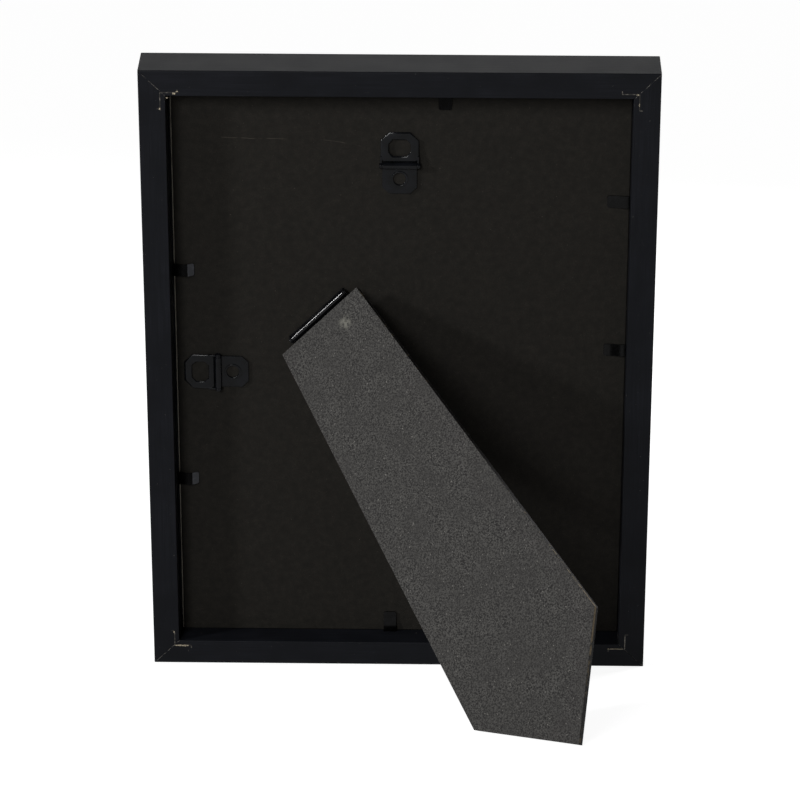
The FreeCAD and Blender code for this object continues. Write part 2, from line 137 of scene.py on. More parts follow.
def sheet_axes(origin: Vector, away: Vector, outward: Vector) -> Matrix:
    """Gives axes of a flat piece: Y runs away from the origin, Z stands out of the sheet."""
    return axes_at(origin, away.cross(outward), away, outward)


# Choosing and editing
class Element(Enum):
    """Kind of mesh element that is chosen in edit mode."""

    VERT = "verts"
    EDGE = "edges"
    FACE = "faces"


def select_only(*pieces: Piece) -> None:
    """Selects these objects alone.

    Args:
        pieces: The objects. The first one becomes the active one.
    """
    bpy.ops.object.select_all(action="DESELECT")
    for piece in pieces:
        piece.select_set(True)
    bpy.context.view_layer.objects.active = pieces[0]


@contextmanager
def editing(piece: Piece) -> Iterator[None]:
    """Opens a piece in edit mode with nothing selected, and closes it again.

    Args:
        piece: The piece to open.

    Returns:
        Nothing, while the piece is open.
    """
    select_only(piece)
    bpy.ops.object.mode_set(mode="EDIT")
    bpy.ops.mesh.select_all(action="DESELECT")
    yield
    bpy.ops.object.mode_set(mode="OBJECT")


def choose(piece: Piece, element: Element, test: Test) -> None:
    """Selects the mesh elements that pass a test.

    Args:
        piece: Object that is open in edit mode.
        element: Kind of element to select.
        test: Function that says of one element whether it is wanted.
    """
    bpy.ops.mesh.select_mode(type=element.name)
    bpy.ops.mesh.select_all(action="DESELECT")
    mesh = bmesh.from_edit_mesh(piece.data)
    mesh.normal_update()
    for item in getattr(mesh, element.value):
        if test(item):
            item.select_set(True)
    mesh.select_flush_mode()
    bmesh.update_edit_mesh(piece.data)


def runs_along(axis: int, places: dict[int, float]) -> Test:
    """Makes a test for straight edges.

    Args:
        axis: Number of the axis that the edge runs along.
        places: Coordinates that the edge has on the other axes, in millimetres.

    Returns:
        A test of one edge.
    """

    def test(edge: bmesh.types.BMEdge) -> bool:
        first, second = (vert.co for vert in edge.verts)
        others = [k for k in range(3) if k != axis]
        straight = all(abs(first[k] - second[k]) < TINY for k in others)
        return straight and all(abs(first[k] - value * MM) < TINY for k, value in places.items())

    return test


def lies_on(bends: Path) -> Test:
    """Makes a test for the edges that run across a strip at its bends.

    Args:
        bends: Places of the bends in the YZ plane, in millimetres.

    Returns:
        A test of one edge.
    """
    places = [Vector(bend) * MM for bend in bends]
    return lambda edge: any(
        all((vert.co.yz - place).length < TINY for vert in edge.verts) for place in places
    )


def faces_up(face: bmesh.types.BMFace) -> bool:
    """Says whether a face looks up."""
    return face.normal.z > 0.9


# Modelling
def settle_new(name: str, scale: Sequence[float] = (1, 1, 1)) -> Piece:
    """Names the new primitive, scales it and takes its place into its mesh.

    Args:
        name: Name of the piece and its mesh.
        scale: Scale on each axis.

    Returns:
        The new piece.
    """
    piece = bpy.context.object
    piece.name = piece.data.name = name
    piece.scale = scale
    bpy.ops.object.transform_apply(location=True, rotation=True, scale=True)
    return piece


def block(name: str, low: Sequence[float], high: Sequence[float]) -> Piece:
    """Adds a block between two corners.

    Args:
        name: Name of the new object.
        low: One corner in millimetres.
        high: The opposite corner in millimetres.

    Returns:
        The new object.
    """
    bpy.ops.object.select_all(action="DESELECT")
    start, end = Vector(low) * MM, Vector(high) * MM
    bpy.ops.mesh.primitive_cube_add(size=1, location=(start + end) / 2)
    return settle_new(name, [abs(length) for length in end - start])


def rod(name: str, radius: float, start: float, end: float, dome: float = 0.0) -> Piece:
    """Adds a round rod along X, with its ends domed if asked.

    Args:
        name: Name of the new object.
        radius: Radius in millimetres.
        start: Where it starts on X.
        end: Where it ends on X.
        dome: Radius by which its rims are rounded.

    Returns:
        The new object.
    """
    bpy.ops.object.select_all(action="DESELECT")
    bpy.ops.mesh.primitive_cylinder_add(
        vertices=40, radius=radius * MM, depth=abs(end - start) * MM,
        location=((start + end) / 2 * MM, 0, 0), rotation=(0, math.pi / 2, 0),
    )
    piece = settle_new(name)
    if dome:
        bevel_edges(piece, lambda edge: any(len(face.verts) > 4 for face in edge.link_faces), dome, 5)
    return piece


def headed_pin(name: str, radius: float, half: float, head_radius: float, head: float, dome: float) -> Piece:
    """Models a pin along X with a flattened head at each end.

    Args:
        name: Name of the pin.
        radius: Radius of its shank in millimetres.
        half: Half of the length between its heads.
        head_radius: Radius of the heads.
        head: Length of a head.
        dome: Radius by which the heads' rims are rounded.

    Returns:
        The pin.
    """
    shank = rod(name, radius, -half, half)
    heads = [rod("head", head_radius, side * half, side * (half + head), dome) for side in (-1, 1)]
    piece = joined([shank, *heads])
    shade(piece)
    return piece


def bent_strip(name: str, path: Path, width: float) -> Piece:
    """Bends a strip without thickness along a path in the YZ plane, centred on X.

    Args:
        name: Name of the new object.
        path: Points of its middle line in millimetres.
        width: Width in millimetres.

    Returns:
        The new object.
    """
    points = [Vector((0, *point)) * MM for point in path]
    run = points[1] - points[0]
    bpy.ops.object.select_all(action="DESELECT")
    bpy.ops.mesh.primitive_plane_add(
        size=1, location=(points[0] + points[1]) / 2, rotation=(math.atan2(run.z, run.y), 0, 0)
    )
    piece = settle_new(name, (width * MM, run.length, 1))
    with editing(piece):
        choose(piece, Element.EDGE, lies_on(path[1:2]))
        for start, end in zip(points[1:], points[2:]):
            bpy.ops.mesh.extrude_region_move(TRANSFORM_OT_translate={"value": end - start})
        bpy.ops.mesh.select_all(action="SELECT")
        bpy.ops.mesh.normals_make_consistent(inside=False)
    return piece


def arc(centre: Sequence[float], radius: float, start: float, end: float, steps: int = 24) -> Path:
    """Gives the points of a round bend.

    Args:
        centre: Centre of the bend.
        radius: Radius of the bend.
        start: First angle in degrees, from +Y towards +Z.
        end: Last angle in degrees.
        steps: Number of straight runs that stand for the bend.

    Returns:
        The points from start to end.
    """
    angles = [math.radians(start + (end - start) * k / steps) for k in range(steps + 1)]
    return [(centre[0] + radius * math.cos(a), centre[1] + radius * math.sin(a)) for a in angles]


def modify(piece: Piece, kind: str, **settings: object) -> None:
    """Adds a modifier and applies it.

    Args:
        piece: The piece that is changed.
        kind: Type of the modifier.
        settings: Settings of the modifier.
    """
    modifier = piece.modifiers.new(kind.title(), kind)
    for key, value in settings.items():
        setattr(modifier, key, value)
    select_only(piece)
    bpy.ops.object.modifier_apply(modifier=modifier.name)


def thicken(piece: Piece, gauge: float) -> None:
    """Gives a sheet its gauge, half to each side.

    Args:
        piece: The sheet.
        gauge: Its gauge in millimetres.
    """
    modify(piece, "SOLIDIFY", thickness=gauge * MM, offset=0.0, use_even_offset=True)
    with editing(piece):
        bpy.ops.mesh.select_all(action="SELECT")
        bpy.ops.mesh.normals_make_consistent(inside=False)


def bevel_edges(piece: Piece, test: Test, width: float, segments: int = 1) -> None:
    """Chamfers or rounds some edges.

    Args:
        piece: The piece that is changed.
        test: Function that says of one edge whether it is wanted.
        width: Width of the chamfer in millimetres.
        segments: 1 for a chamfer, more for a rounding.
    """
    with editing(piece):
        choose(piece, Element.EDGE, test)
        bpy.ops.mesh.bevel(offset=width * MM, segments=segments, affect="EDGES", clamp_overlap=False)


def cut_corners(piece: Piece, test: Test, width: float, segments: int = 1) -> None:
    """Chamfers or rounds some corners of a sheet.

    Args:
        piece: The sheet, which has no thickness yet.
        test: Function that says of one vertex whether it is such a corner.
        width: Width of the chamfer in millimetres.
        segments: 1 for a chamfer, more for a rounding.
    """
    with editing(piece):
        choose(piece, Element.VERT, test)
        bpy.ops.mesh.bevel(offset=width * MM, segments=segments, affect="VERTICES")


def soften(piece: Piece, radius: float, segments: int = 2, angle: float = SMOOTH_ANGLE) -> None:
    """Rounds the sharp edges that are left and shades the round ones smooth.

    Args:
        piece: The piece that is changed.
        radius: Radius of the rounding in millimetres.
        segments: Number of faces across the rounding.
        angle: Least angle of a sharp edge, in degrees.
    """
    modify(
        piece, "BEVEL", width=radius * MM, segments=segments, limit_method="ANGLE",
        angle_limit=math.radians(angle), use_clamp_overlap=True,
    )
    shade(piece, angle)


def shade(piece: Piece, angle: float = SMOOTH_ANGLE) -> None:
    """Shades round surfaces smooth and keeps the flats beside them flat.

    Args:
        piece: The piece that is shaded.
        angle: Least angle of an edge that stays sharp, in degrees.
    """
    select_only(piece)
    bpy.ops.object.shade_smooth_by_angle(angle=math.radians(angle))
    modify(piece, "WEIGHTED_NORMAL", keep_sharp=True)


def cut(piece: Piece, tool: Piece) -> None:
    """Cuts a tool out of a piece and throws the tool away."""
    modify(piece, "BOOLEAN", operation="DIFFERENCE", solver="EXACT", object=tool)
    bpy.data.objects.remove(tool)


def joined(pieces: Sequence[Piece]) -> Piece:
    """Joins objects.

    Args:
        pieces: The objects to join.

    Returns:
        The first of them, which now holds them all.
    """
    select_only(*pieces)
    bpy.ops.object.join()
    return pieces[0]


def copy_of(piece: Piece, name: str) -> Piece:
    """Copies a piece with a mesh of its own.

    Args:
        piece: The piece to copy.
        name: Name of the copy and its mesh.

    Returns:
        The copy.
    """
    twin = piece.copy()
    twin.data = piece.data.copy()
    twin.name = twin.data.name = name
    bpy.context.scene.collection.objects.link(twin)
    return twin


def lay(piece: Piece, matrix: Matrix) -> Piece:
    """Lays a piece in its place and takes the place into its mesh.

    Args:
        piece: The piece.
        matrix: Its place.

    Returns:
        The same piece.
    """
    select_only(piece)
    piece.matrix_world = matrix
    bpy.ops.object.transform_apply(location=True, rotation=True, scale=True)
    return piece


def open_slots(piece: Piece) -> None:
    """Gives a piece two empty material slots."""
    for _ in range(2):
        piece.data.materials.append(None)


def use_second_slot(piece: Piece) -> None:
    """Puts the faces that are selected in edit mode on the second material slot."""
    piece.active_material_index = 1
    bpy.ops.object.material_slot_assign()


def hand_over(piece: Piece, finishes: Sequence["Finish"], body: str, slot: str, *nodes: str) -> None:
    """Dresses a finished piece, hangs it on the body that it moves with, hides the imported nodes that it
    stands for and logs it.

    Args:
        piece: The piece, which lies in its place.
        finishes: A finish for each of its material slots.
        body: The body that it rides on.
        slot: Not used.
        nodes: The nodes that it stands for.
    """
    slots = piece.data.materials
    for k, finish in enumerate(finishes):
        if k < len(slots):
            slots[k] = finish.material()
        else:
            slots.append(finish.material())
    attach(piece, body)
    if nodes:
        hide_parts(*nodes)
    log.info("%s: %d faces, moves with %s", piece.name, len(piece.data.polygons), body)


# Finishes
def linear(hex_colour: str) -> tuple[float, float, float, float]:
    """Turns an sRGB hex colour into linear red, green, blue and alpha."""
    shares = [int(hex_colour[k:k + 2], 16) / 255 for k in (1, 3, 5)]
    return (*(s / 12.92 if s <= 0.04045 else ((s + 0.055) / 1.055) ** 2.4 for s in shares), 1.0)


def add(tree: Tree, kind: str, settings: dict | None = None, inputs: dict | None = None) -> Node:
    """Adds a shader node with its settings and links.

    Args:
        tree: Node tree that gets the node.
        kind: Type of the node, without the word ShaderNode.
        settings: Attributes of the node.
        inputs: What its sockets get, by name or number: a number, a hex colour, a socket, or
            a node, whose first output in use is taken.

    Returns:
        The new node.
    """
    node = tree.nodes.new("ShaderNode" + kind)
    for key, value in (settings or {}).items():
        setattr(node, key, value)
    for key, value in (inputs or {}).items():
        if isinstance(value, Node):
            value = next(output for output in value.outputs if output.enabled)
        if isinstance(value, Socket):
            tree.links.new(value, node.inputs[key])
        else:
            node.inputs[key].default_value = linear(value) if isinstance(value, str) else value
    return node


def cloud(
    tree: Tree, place: Socket | Node, size: float, low: float = 0.3, high: float = 0.7, detail: float = 3.0
) -> Node:
    """Gives a cloudy pattern of one real size.

    Args:
        tree: Node tree that gets the pattern.
        place: Coordinates in metres.
        size: Size of a cloud in millimetres.
        low: Noise level that becomes 0.
        high: Noise level that becomes 1.
        detail: Octaves of finer noise.

    Returns:
        The pattern, from 0 to 1.
    """
    noise = add(tree, "TexNoise", inputs={"Vector": place, "Scale": 1 / (size * MM), "Detail": detail})
    return add(tree, "MapRange", inputs={"Value": noise, "From Min": low, "From Max": high})


def layered(tree: Tree, tone: Socket | Node | str, *layers: tuple) -> Socket | Node | str:
    """Lays tones over each other.

    Args:
        tree: Node tree that gets them.
        tone: The lowest tone.
        layers: How much each next one covers, and its tone.

    Returns:
        The colour that they give together.
    """
    for share, above in layers:
        tone = add(tree, "Mix", {"data_type": "RGBA"}, {0: share, 6: tone, 7: above})
    return tone


@dataclass(frozen=True)
class Finish:
    """Surface finish of a piece.

    Attributes:
        name: The real material and how its surface was made.
    """

    name: str

    def material(self) -> bpy.types.Material:
        """Builds the finish once and gives it each time.

        Returns:
            The material.
        """
        known = bpy.data.materials.get(self.name)
        if known:
            return known
        made = bpy.data.materials.new(self.name)
        made.use_nodes = True
        tree = made.node_tree
        tree.nodes.clear()
        place = add(tree, "TexCoord").outputs["Object"]
        add(tree, "OutputMaterial", inputs={"Surface": self.surface(tree, place)})
        return made

    def surface(self, tree: Tree, place: Socket) -> Node:
        """Builds the shader of the finish.

        Args:
            tree: Node tree of the finish.
            place: Object coordinates in metres.

        Returns:
            The shader.
        """
        raise NotImplementedError


@dataclass(frozen=True)
class FoilOnFibreboard(Finish):
    """Black foil wrapped on moulded fibreboard.

    It is smooth and satin, with faint streaks along the rail where the foil was drawn
    over the board, a few pale specks of dust, and places that are rubbed a little paler.

    Attributes:
        lean: Angle by which the frame leans back, in radians.
        upright: True for the rails that run up the frame.
    """

    lean: float
    upright: bool
    ground: str = "#0d0e11"
    rubbed: str = "#141519"
    dust: str = "#5d5b57"
    smooth: float = 0.4
    rough: float = 0.44
    gloss: float = 0.055
    streak_length: float = 24.0
    streak_width: float = 0.35
    cloud_size: float = 14.0
    speck_size: float = 0.5
    grain_depth: float = 0.012

    def surface(self, tree: Tree, place: Socket) -> Node:
        """Builds streaks, clouds and specks over the foil's black.

        Args:
            tree: Node tree of the finish.
            place: Object coordinates in metres.

        Returns:
            The shader.
        """
        stretch = self.streak_width / self.streak_length
        scale = (1, 1, stretch) if self.upright else (stretch, 1, 1)
        upright = add(tree, "Mapping", inputs={"Vector": place, "Rotation": (self.lean, 0, 0)})
        drawn = add(tree, "Mapping", inputs={"Vector": upright, "Scale": scale})
        streaks = cloud(tree, drawn, self.streak_width, 0.35, 0.65, 2.0)
        clouds = cloud(tree, place, self.cloud_size, 0.35, 0.65)
        specks = cloud(tree, place, self.speck_size, 0.80, 0.82, 1.0)
        share = add(tree, "Math", {"operation": "MULTIPLY"}, {0: streaks, 1: clouds})
        return add(tree, "BsdfPrincipled", inputs={
            "Base Color": layered(tree, self.ground, (share, self.rubbed), (specks, self.dust)),
            "Roughness": add(tree, "MapRange", inputs={
                "Value": clouds, "To Min": self.smooth, "To Max": self.rough,
            }),
            "Specular IOR Level": self.gloss,
            "Normal": add(tree, "Bump", inputs={"Height": streaks, "Distance": self.grain_depth * MM}),
        })


@dataclass(frozen=True)
class ChippedMitre(Finish):
    """Arris of a mitre where the saw broke the foil, so that pale fibre shows in places."""

    foil: str = "#1b1c1f"
    fibre: str = "#6f6c66"
    rough: float = 0.8
    gloss: float = 0.1
    chip_size: float = 1.3
    closed_level: float = 0.47
    open_level: float = 0.53
    fibre_depth: float = 0.05

    def surface(self, tree: Tree, place: Socket) -> Node:
        """Builds broken runs of pale fibre on black.

        Args:
            tree: Node tree of the finish.
            place: Object coordinates in metres.

        Returns:
            The shader.
        """
        broken = cloud(tree, place, self.chip_size, self.closed_level, self.open_level, 4.0)
        fibre = cloud(tree, place, self.chip_size / 6)
        pale = layered(tree, self.foil, (fibre, self.fibre))
        return add(tree, "BsdfPrincipled", inputs={
            "Base Color": layered(tree, self.foil, (broken, pale)),
            "Roughness": self.rough, "Specular IOR Level": self.gloss,
            "Normal": add(tree, "Bump", inputs={"Height": fibre, "Distance": self.fibre_depth * MM}),
        })


@dataclass(frozen=True)
class CloudyFinish(Finish):
    """Finish that clouds from one tone to another over a fine relief.

    Attributes:
        ground: The tone that it has between the clouds.
        other: The tone of the clouds.
        smooth: Least roughness.
        rough: Greatest roughness.
        gloss: Specular level.
        patch: Size of the clouds, noise levels where they begin and are full, octaves of detail.
        wave: The same of the relief.
        wave_rough: True if the relief varies the roughness, false if the clouds do.
        wave_depth: Depth of the relief, or 0 for none.
        more: Names and values of further sockets of the shader.
    """

    ground: str
    other: str
    smooth: float
    rough: float
    gloss: float
    patch: Pattern
    wave: Pattern
    wave_rough: bool = True
    wave_depth: float = 0.0
    more: tuple[tuple[str, float], ...] = ()

    def surface(self, tree: Tree, place: Socket) -> Node:
        """Builds the clouds and the relief.

        Args:
            tree: Node tree of the finish.
            place: Object coordinates in metres.

        Returns:
            The shader.
        """
        patch = cloud(tree, place, *self.patch)
        wave = cloud(tree, place, *self.wave)
        inputs = {
            "Base Color": layered(tree, self.ground, (patch, self.other)),
            "Roughness": add(tree, "MapRange", inputs={
                "Value": wave if self.wave_rough else patch, "To Min": self.smooth, "To Max": self.rough,
            }),
            "Specular IOR Level": self.gloss, **dict(self.more),
        }
        if self.wave_depth:
            relief = {"Height": wave, "Distance": self.wave_depth * MM}
            inputs["Normal"] = add(tree, "Bump", inputs=relief)
        return add(tree, "BsdfPrincipled", inputs=inputs)


@dataclass(frozen=True)
class TornFibre(CloudyFinish):
    """Raw fibreboard torn up beside a driven nail: pale tan and ragged."""

    ground: str = "#5a5245"
    other: str = "#aaa08c"
    smooth: float = 0.9
    rough: float = 0.9
    gloss: float = 0.2
    patch: Pattern = (0.3, 0.3, 0.7)
    wave: Pattern = (0.3, 0.3, 0.7)
    wave_depth: float = 0.05


@dataclass(frozen=True)
class CutHardboard(CloudyFinish):
    """Guillotined edge of the dyed hardboard, greyer than its face where the fibres stand out, and painted
    paler still as a highlight.
    """

    # Painted highlight: these tones are lighter than the raw fibre edge, standing in for light that the edge
    # catches.
    ground: str = "#a09a8d"
    other: str = "#cfc9bb"
    smooth: float = 0.8
    rough: float = 0.8
    gloss: float = 0.2
    patch: Pattern = (0.35, 0.3, 0.7)
    wave: Pattern = (0.35, 0.3, 0.7)
    wave_depth: float = 0.05


@dataclass(frozen=True)
class SpringSteel(CloudyFinish):
    """Rolled spring steel of the corner nails, bright where the hammer rubbed it."""

    ground: str = "#2e2d2b"
    other: str = "#5c5953"
    smooth: float = 0.3
    rough: float = 0.5
    gloss: float = 0.5
    patch: Pattern = (1.6, 0.5, 0.68)
    wave: Pattern = (0.2, 0.3, 0.7)
    more: tuple[tuple[str, float], ...] = (("Metallic", 1.0),)


@dataclass(frozen=True)
class Scratch:
    """Light scratch on the board.

    Attributes:
        x: Place of its middle across the frame, in millimetres.
        z: Its height over the bottom edge.
        length: Its length.
        slope: Rise over run.
    """

    x: float
    z: float
    length: float
    slope: float


@dataclass(frozen=True)
class DyedHardboard(Finish):
    """Hardboard dyed through: a brown black with matted fibres, pale specks and light scratches.

    Attributes:
        lean: Angle by which the frame leans back, in radians.
        foot: Height of the frame's bottom edge along its own upright axis, in millimetres.
        scratches: The scratches on it.
    """

    lean: float = 0.0
    foot: float = 0.0
    scratches: tuple[Scratch, ...] = ()
    ground: str = "#1b1a18"
    fibre: str = "#252320"
    fleck: str = "#4c4842"
    scratch: str = "#302d29"
    smooth: float = 0.62
    rough: float = 0.78
    gloss: float = 0.02
    mat_size: float = 2.6
    fibre_size: float = 0.45
    fleck_size: float = 0.55
    fibre_depth: float = 0.03
    scratch_width: float = 0.16
    wander: float = 2.0
    wander_size: float = 18.0
    break_size: float = 5.0

    def surface(self, tree: Tree, place: Socket) -> Node:
        """Builds matted fibres, flecks and scratches.

        Args:
            tree: Node tree of the finish.
            place: Object coordinates in metres.

        Returns:
            The shader.
        """
        mat = cloud(tree, place, self.mat_size, detail=5.0)
        fibre = cloud(tree, place, self.fibre_size, detail=2.0)
        flecks = cloud(tree, place, self.fleck_size, 0.80, 0.82, 1.0)
        matted = add(tree, "Math", {"operation": "MULTIPLY"}, {0: mat, 1: fibre})
        height = add(tree, "Math", {"operation": "ADD"}, {0: fibre, 1: mat})
        scratched = self.scratched(tree, place)
        layers = (matted, self.fibre), (flecks, self.fleck), (scratched, self.scratch)
        return add(tree, "BsdfPrincipled", inputs={
            "Base Color": layered(tree, self.ground, *layers),
            "Roughness": add(tree, "MapRange", inputs={
                "Value": fibre, "To Min": self.smooth, "To Max": self.rough,
            }),
            "Specular IOR Level": self.gloss,
            "Normal": add(tree, "Bump", inputs={"Height": height, "Distance": self.fibre_depth * MM}),
        })

    def scratched(self, tree: Tree, place: Socket) -> Node | float:
        """Gives the share of scratches at a place.

        Args:
            tree: Node tree of the finish.
            place: Object coordinates in metres.

        Returns:
            1 in a scratch and 0 outside it.
        """
        upright = add(tree, "Mapping", inputs={"Vector": place, "Rotation": (self.lean, 0, 0)})
        parts = add(tree, "SeparateXYZ", inputs={"Vector": upright}).outputs
        wander = cloud(tree, place, self.wander_size, 0.0, 1.0)
        broken = cloud(tree, place, self.break_size, 0.44, 0.56)
        total: Node | float = 0.0
        for scratch in self.scratches:
            level = scratch.z + self.foot - self.wander / 2
            along = add(tree, "Math", {"operation": "SUBTRACT"}, {0: parts["X"], 1: scratch.x * MM})
            line = add(tree, "Math", {"operation": "MULTIPLY_ADD"}, {
                0: along, 1: scratch.slope, 2: level * MM,
            })
            line = add(tree, "Math", {"operation": "MULTIPLY_ADD"}, {
                0: wander, 1: self.wander * MM, 2: line,
            })
            near = add(tree, "Math", {"operation": "COMPARE"}, {
                0: parts["Z"], 1: line, 2: self.scratch_width * MM,
            })
            within = add(tree, "Math", {"operation": "COMPARE"}, {
                0: along, 1: 0.0, 2: scratch.length / 2 * MM,
            })
            both = add(tree, "Math", {"operation": "MULTIPLY"}, {0: near, 1: within})
            total = add(tree, "Math", {"operation": "MAXIMUM"}, {0: total, 1: both})
        return add(tree, "Math", {"operation": "MULTIPLY"}, {0: total, 1: broken})


@dataclass(frozen=True)
class LacqueredSteel(CloudyFinish):
    """Stamped steel dipped in black lacquer: glossy, slightly wavy, with thin dull patches."""

    ground: str = "#060708"
    other: str = "#0c0d10"
    smooth: float = 0.07
    rough: float = 0.15
    gloss: float = 0.1
    patch: Pattern = (5.0, 0.35, 0.65)
    wave: Pattern = (1.4, 0.2, 0.8, 1.0)
    wave_rough: bool = False
    wave_depth: float = 0.006


@dataclass(frozen=True)
class BlackedSteel(CloudyFinish):
    """Spring strip blackened in an oxide bath: near black, oily where it is glossy."""

    ground: str = "#020202"
    other: str = "#0b0b0c"
    smooth: float = 0.15
    rough: float = 0.25
    gloss: float = 0.03
    patch: Pattern = (2.2, 0.5, 0.8)
    wave: Pattern = (2.2 / 7, 0.3, 0.7)
    wave_depth: float = 0.006


@dataclass(frozen=True)
class SpeckledFacing(Finish):
    """Recycled grey paper glued to the leg: salt and pepper fibres with a few pale ones.

    Attributes:
        rubbed_place: Place in metres where the paper is rubbed pale over a rivet.
    """

    rubbed_place: Place = (0.0, 0.0, 0.0)
    ground: str = "#2d2c2b"
    pepper: str = "#1c1b1b"
    salt: str = "#42413f"
    white: str = "#666460"
    rubbed: str = "#5b5a54"
    rough: float = 0.85
    gloss: float = 0.15
    speck_size: float = 0.6
    mottle_size: float = 11.0
    mottle_share: float = 0.5
    white_size: float = 0.7
    rub_radius: float = 3.6
    fibre_depth: float = 0.04

    def surface(self, tree: Tree, place: Socket) -> Node:
        """Builds the specks, the mottling and the rubbed place.

        Args:
            tree: Node tree of the finish.
            place: Object coordinates in metres.

        Returns:
            The shader.
        """
        speck = cloud(tree, place, self.speck_size, 0.4, 0.6, 5.0)
        mottle = cloud(tree, place, self.mottle_size, 0.35, 0.65)
        mottle = add(tree, "MapRange", inputs={"Value": mottle, "To Max": self.mottle_share})
        white = cloud(tree, place, self.white_size, 0.70, 0.78, 1.0)
        off = add(tree, "VectorMath", {"operation": "DISTANCE"}, {0: place, 1: self.rubbed_place})
        near = add(tree, "MapRange", inputs={
            "Value": off, "From Min": self.rub_radius * MM, "From Max": self.rub_radius / 3 * MM,
        })
        patchy = cloud(tree, place, self.speck_size * 3, 0.42, 0.58, 5.0)
        worn = add(tree, "Math", {"operation": "MULTIPLY"}, {0: near, 1: patchy})
        layers = (speck, self.salt), (mottle, self.ground), (white, self.white), (worn, self.rubbed)
        return add(tree, "BsdfPrincipled", inputs={
            "Base Color": layered(tree, self.pepper, *layers),
            "Roughness": self.rough, "Specular IOR Level": self.gloss,
            "Normal": add(tree, "Bump", inputs={"Height": speck, "Distance": self.fibre_depth * MM}),
        })


@dataclass(frozen=True)
class SawnFibreboard(Finish):
    """Sawn edge of fibreboard, painted black over its thin layers and worn to tan at one corner.

    Attributes:
        normal: Direction out of the sheet, across its layers.
        worn_place: Place in metres of the corner where the paint has worn away.
        outer_level: Height in metres of the outer arris along the normal.
        worn_depth: How far down the edge the wear reaches.
        worn_near: Distance from the corner within which it is worn most.
        worn_far: Distance past which it is hardly worn.
        worn_least: How much wear lies past it, as a share that the chips are added to.
        worn_most: How much wear lies at the corner.
        chip_contrast: How sharply paint and bare board part.
    """

    normal: Place
    worn_place: Place
    outer_level: float
    tan: str = "#8a7a60"
    brown: str = "#3a3226"
    paint: str = "#0e0d0c"
    rough: float = 0.9
    gloss: float = 0.15
    layer: float = 0.35
    fibre_depth: float = 0.06
    worn_depth: float = 1.5
    worn_near: float = 4.0
    worn_far: float = 34.0
    worn_least: float = -0.25
    worn_most: float = 0.6
    chip_size: float = 2.4
    chip_contrast: float = 2.5

    def surface(self, tree: Tree, place: Socket) -> Node:
        """Builds the layers, and the paint that is worn off near the corner.

        Args:
            tree: Node tree of the finish.
            place: Object coordinates in metres.

        Returns:
            The shader.
        """
        dot = add(tree, "VectorMath", {"operation": "DOT_PRODUCT"}, {0: place, 1: self.normal})
        height = dot.outputs["Value"]
        level = add(tree, "CombineXYZ", inputs={"Z": height})
        layers = cloud(tree, level, self.layer, 0.35, 0.65, 2.0)
        fibre = cloud(tree, place, self.layer)
        raw = layered(tree, self.brown, (layers, self.tan))
        return add(tree, "BsdfPrincipled", inputs={
            "Base Color": layered(tree, self.paint, (self.worn(tree, place, height), raw)),
            "Roughness": self.rough, "Specular IOR Level": self.gloss,
            "Normal": add(tree, "Bump", inputs={"Height": fibre, "Distance": self.fibre_depth * MM}),
        })

    def worn(self, tree: Tree, place: Socket, height: Socket) -> Node:
        """Gives how far the paint is worn away.

        Args:
            tree: Node tree of the finish.
            place: Object coordinates in metres.
            height: Height along the normal in metres.

        Returns:
            1 where the board is bare and 0 where the paint is whole.
        """
        off = add(tree, "VectorMath", {"operation": "DISTANCE"}, {0: place, 1: self.worn_place})
        near = add(tree, "MapRange", inputs={
            "Value": off, "From Min": self.worn_far * MM, "From Max": self.worn_near * MM,
            "To Min": self.worn_least, "To Max": self.worn_most,
        })
        chips = cloud(tree, place, self.chip_size, 0.35, 0.65, 4.0)
        worn = add(tree, "Math", {"operation": "SUBTRACT"}, {0: chips, 1: 0.5})
        worn = add(tree, "Math", {"operation": "ADD"}, {0: near, 1: worn})
        worn = add(tree, "Math", {"operation": "MULTIPLY"}, {0: worn, 1: self.chip_contrast})
        worn = add(tree, "Clamp", inputs={"Value": worn})
        arris = add(tree, "MapRange", inputs={
            "Value": height, "From Min": self.outer_level - self.worn_depth * MM,
            "From Max": self.outer_level - self.worn_depth / 2 * MM,
        })
        return add(tree, "Math", {"operation": "MULTIPLY"}, {0: worn, 1: arris})


@dataclass(frozen=True)
class FloatGlass(CloudyFinish):
    """Clear float glass, faintly green, with a few smears that break its gloss."""

    ground: str = "#fbfefd"
    other: str = "#f8fcfa"
    smooth: float = 0.02
    rough: float = 0.05
    gloss: float = 0.5
    patch: Pattern = (30.0, 0.5, 0.8)
    wave: Pattern = (30.0, 0.5, 0.8)
    more: tuple[tuple[str, float], ...] = (("IOR", 1.52), ("Transmission Weight", 1.0))


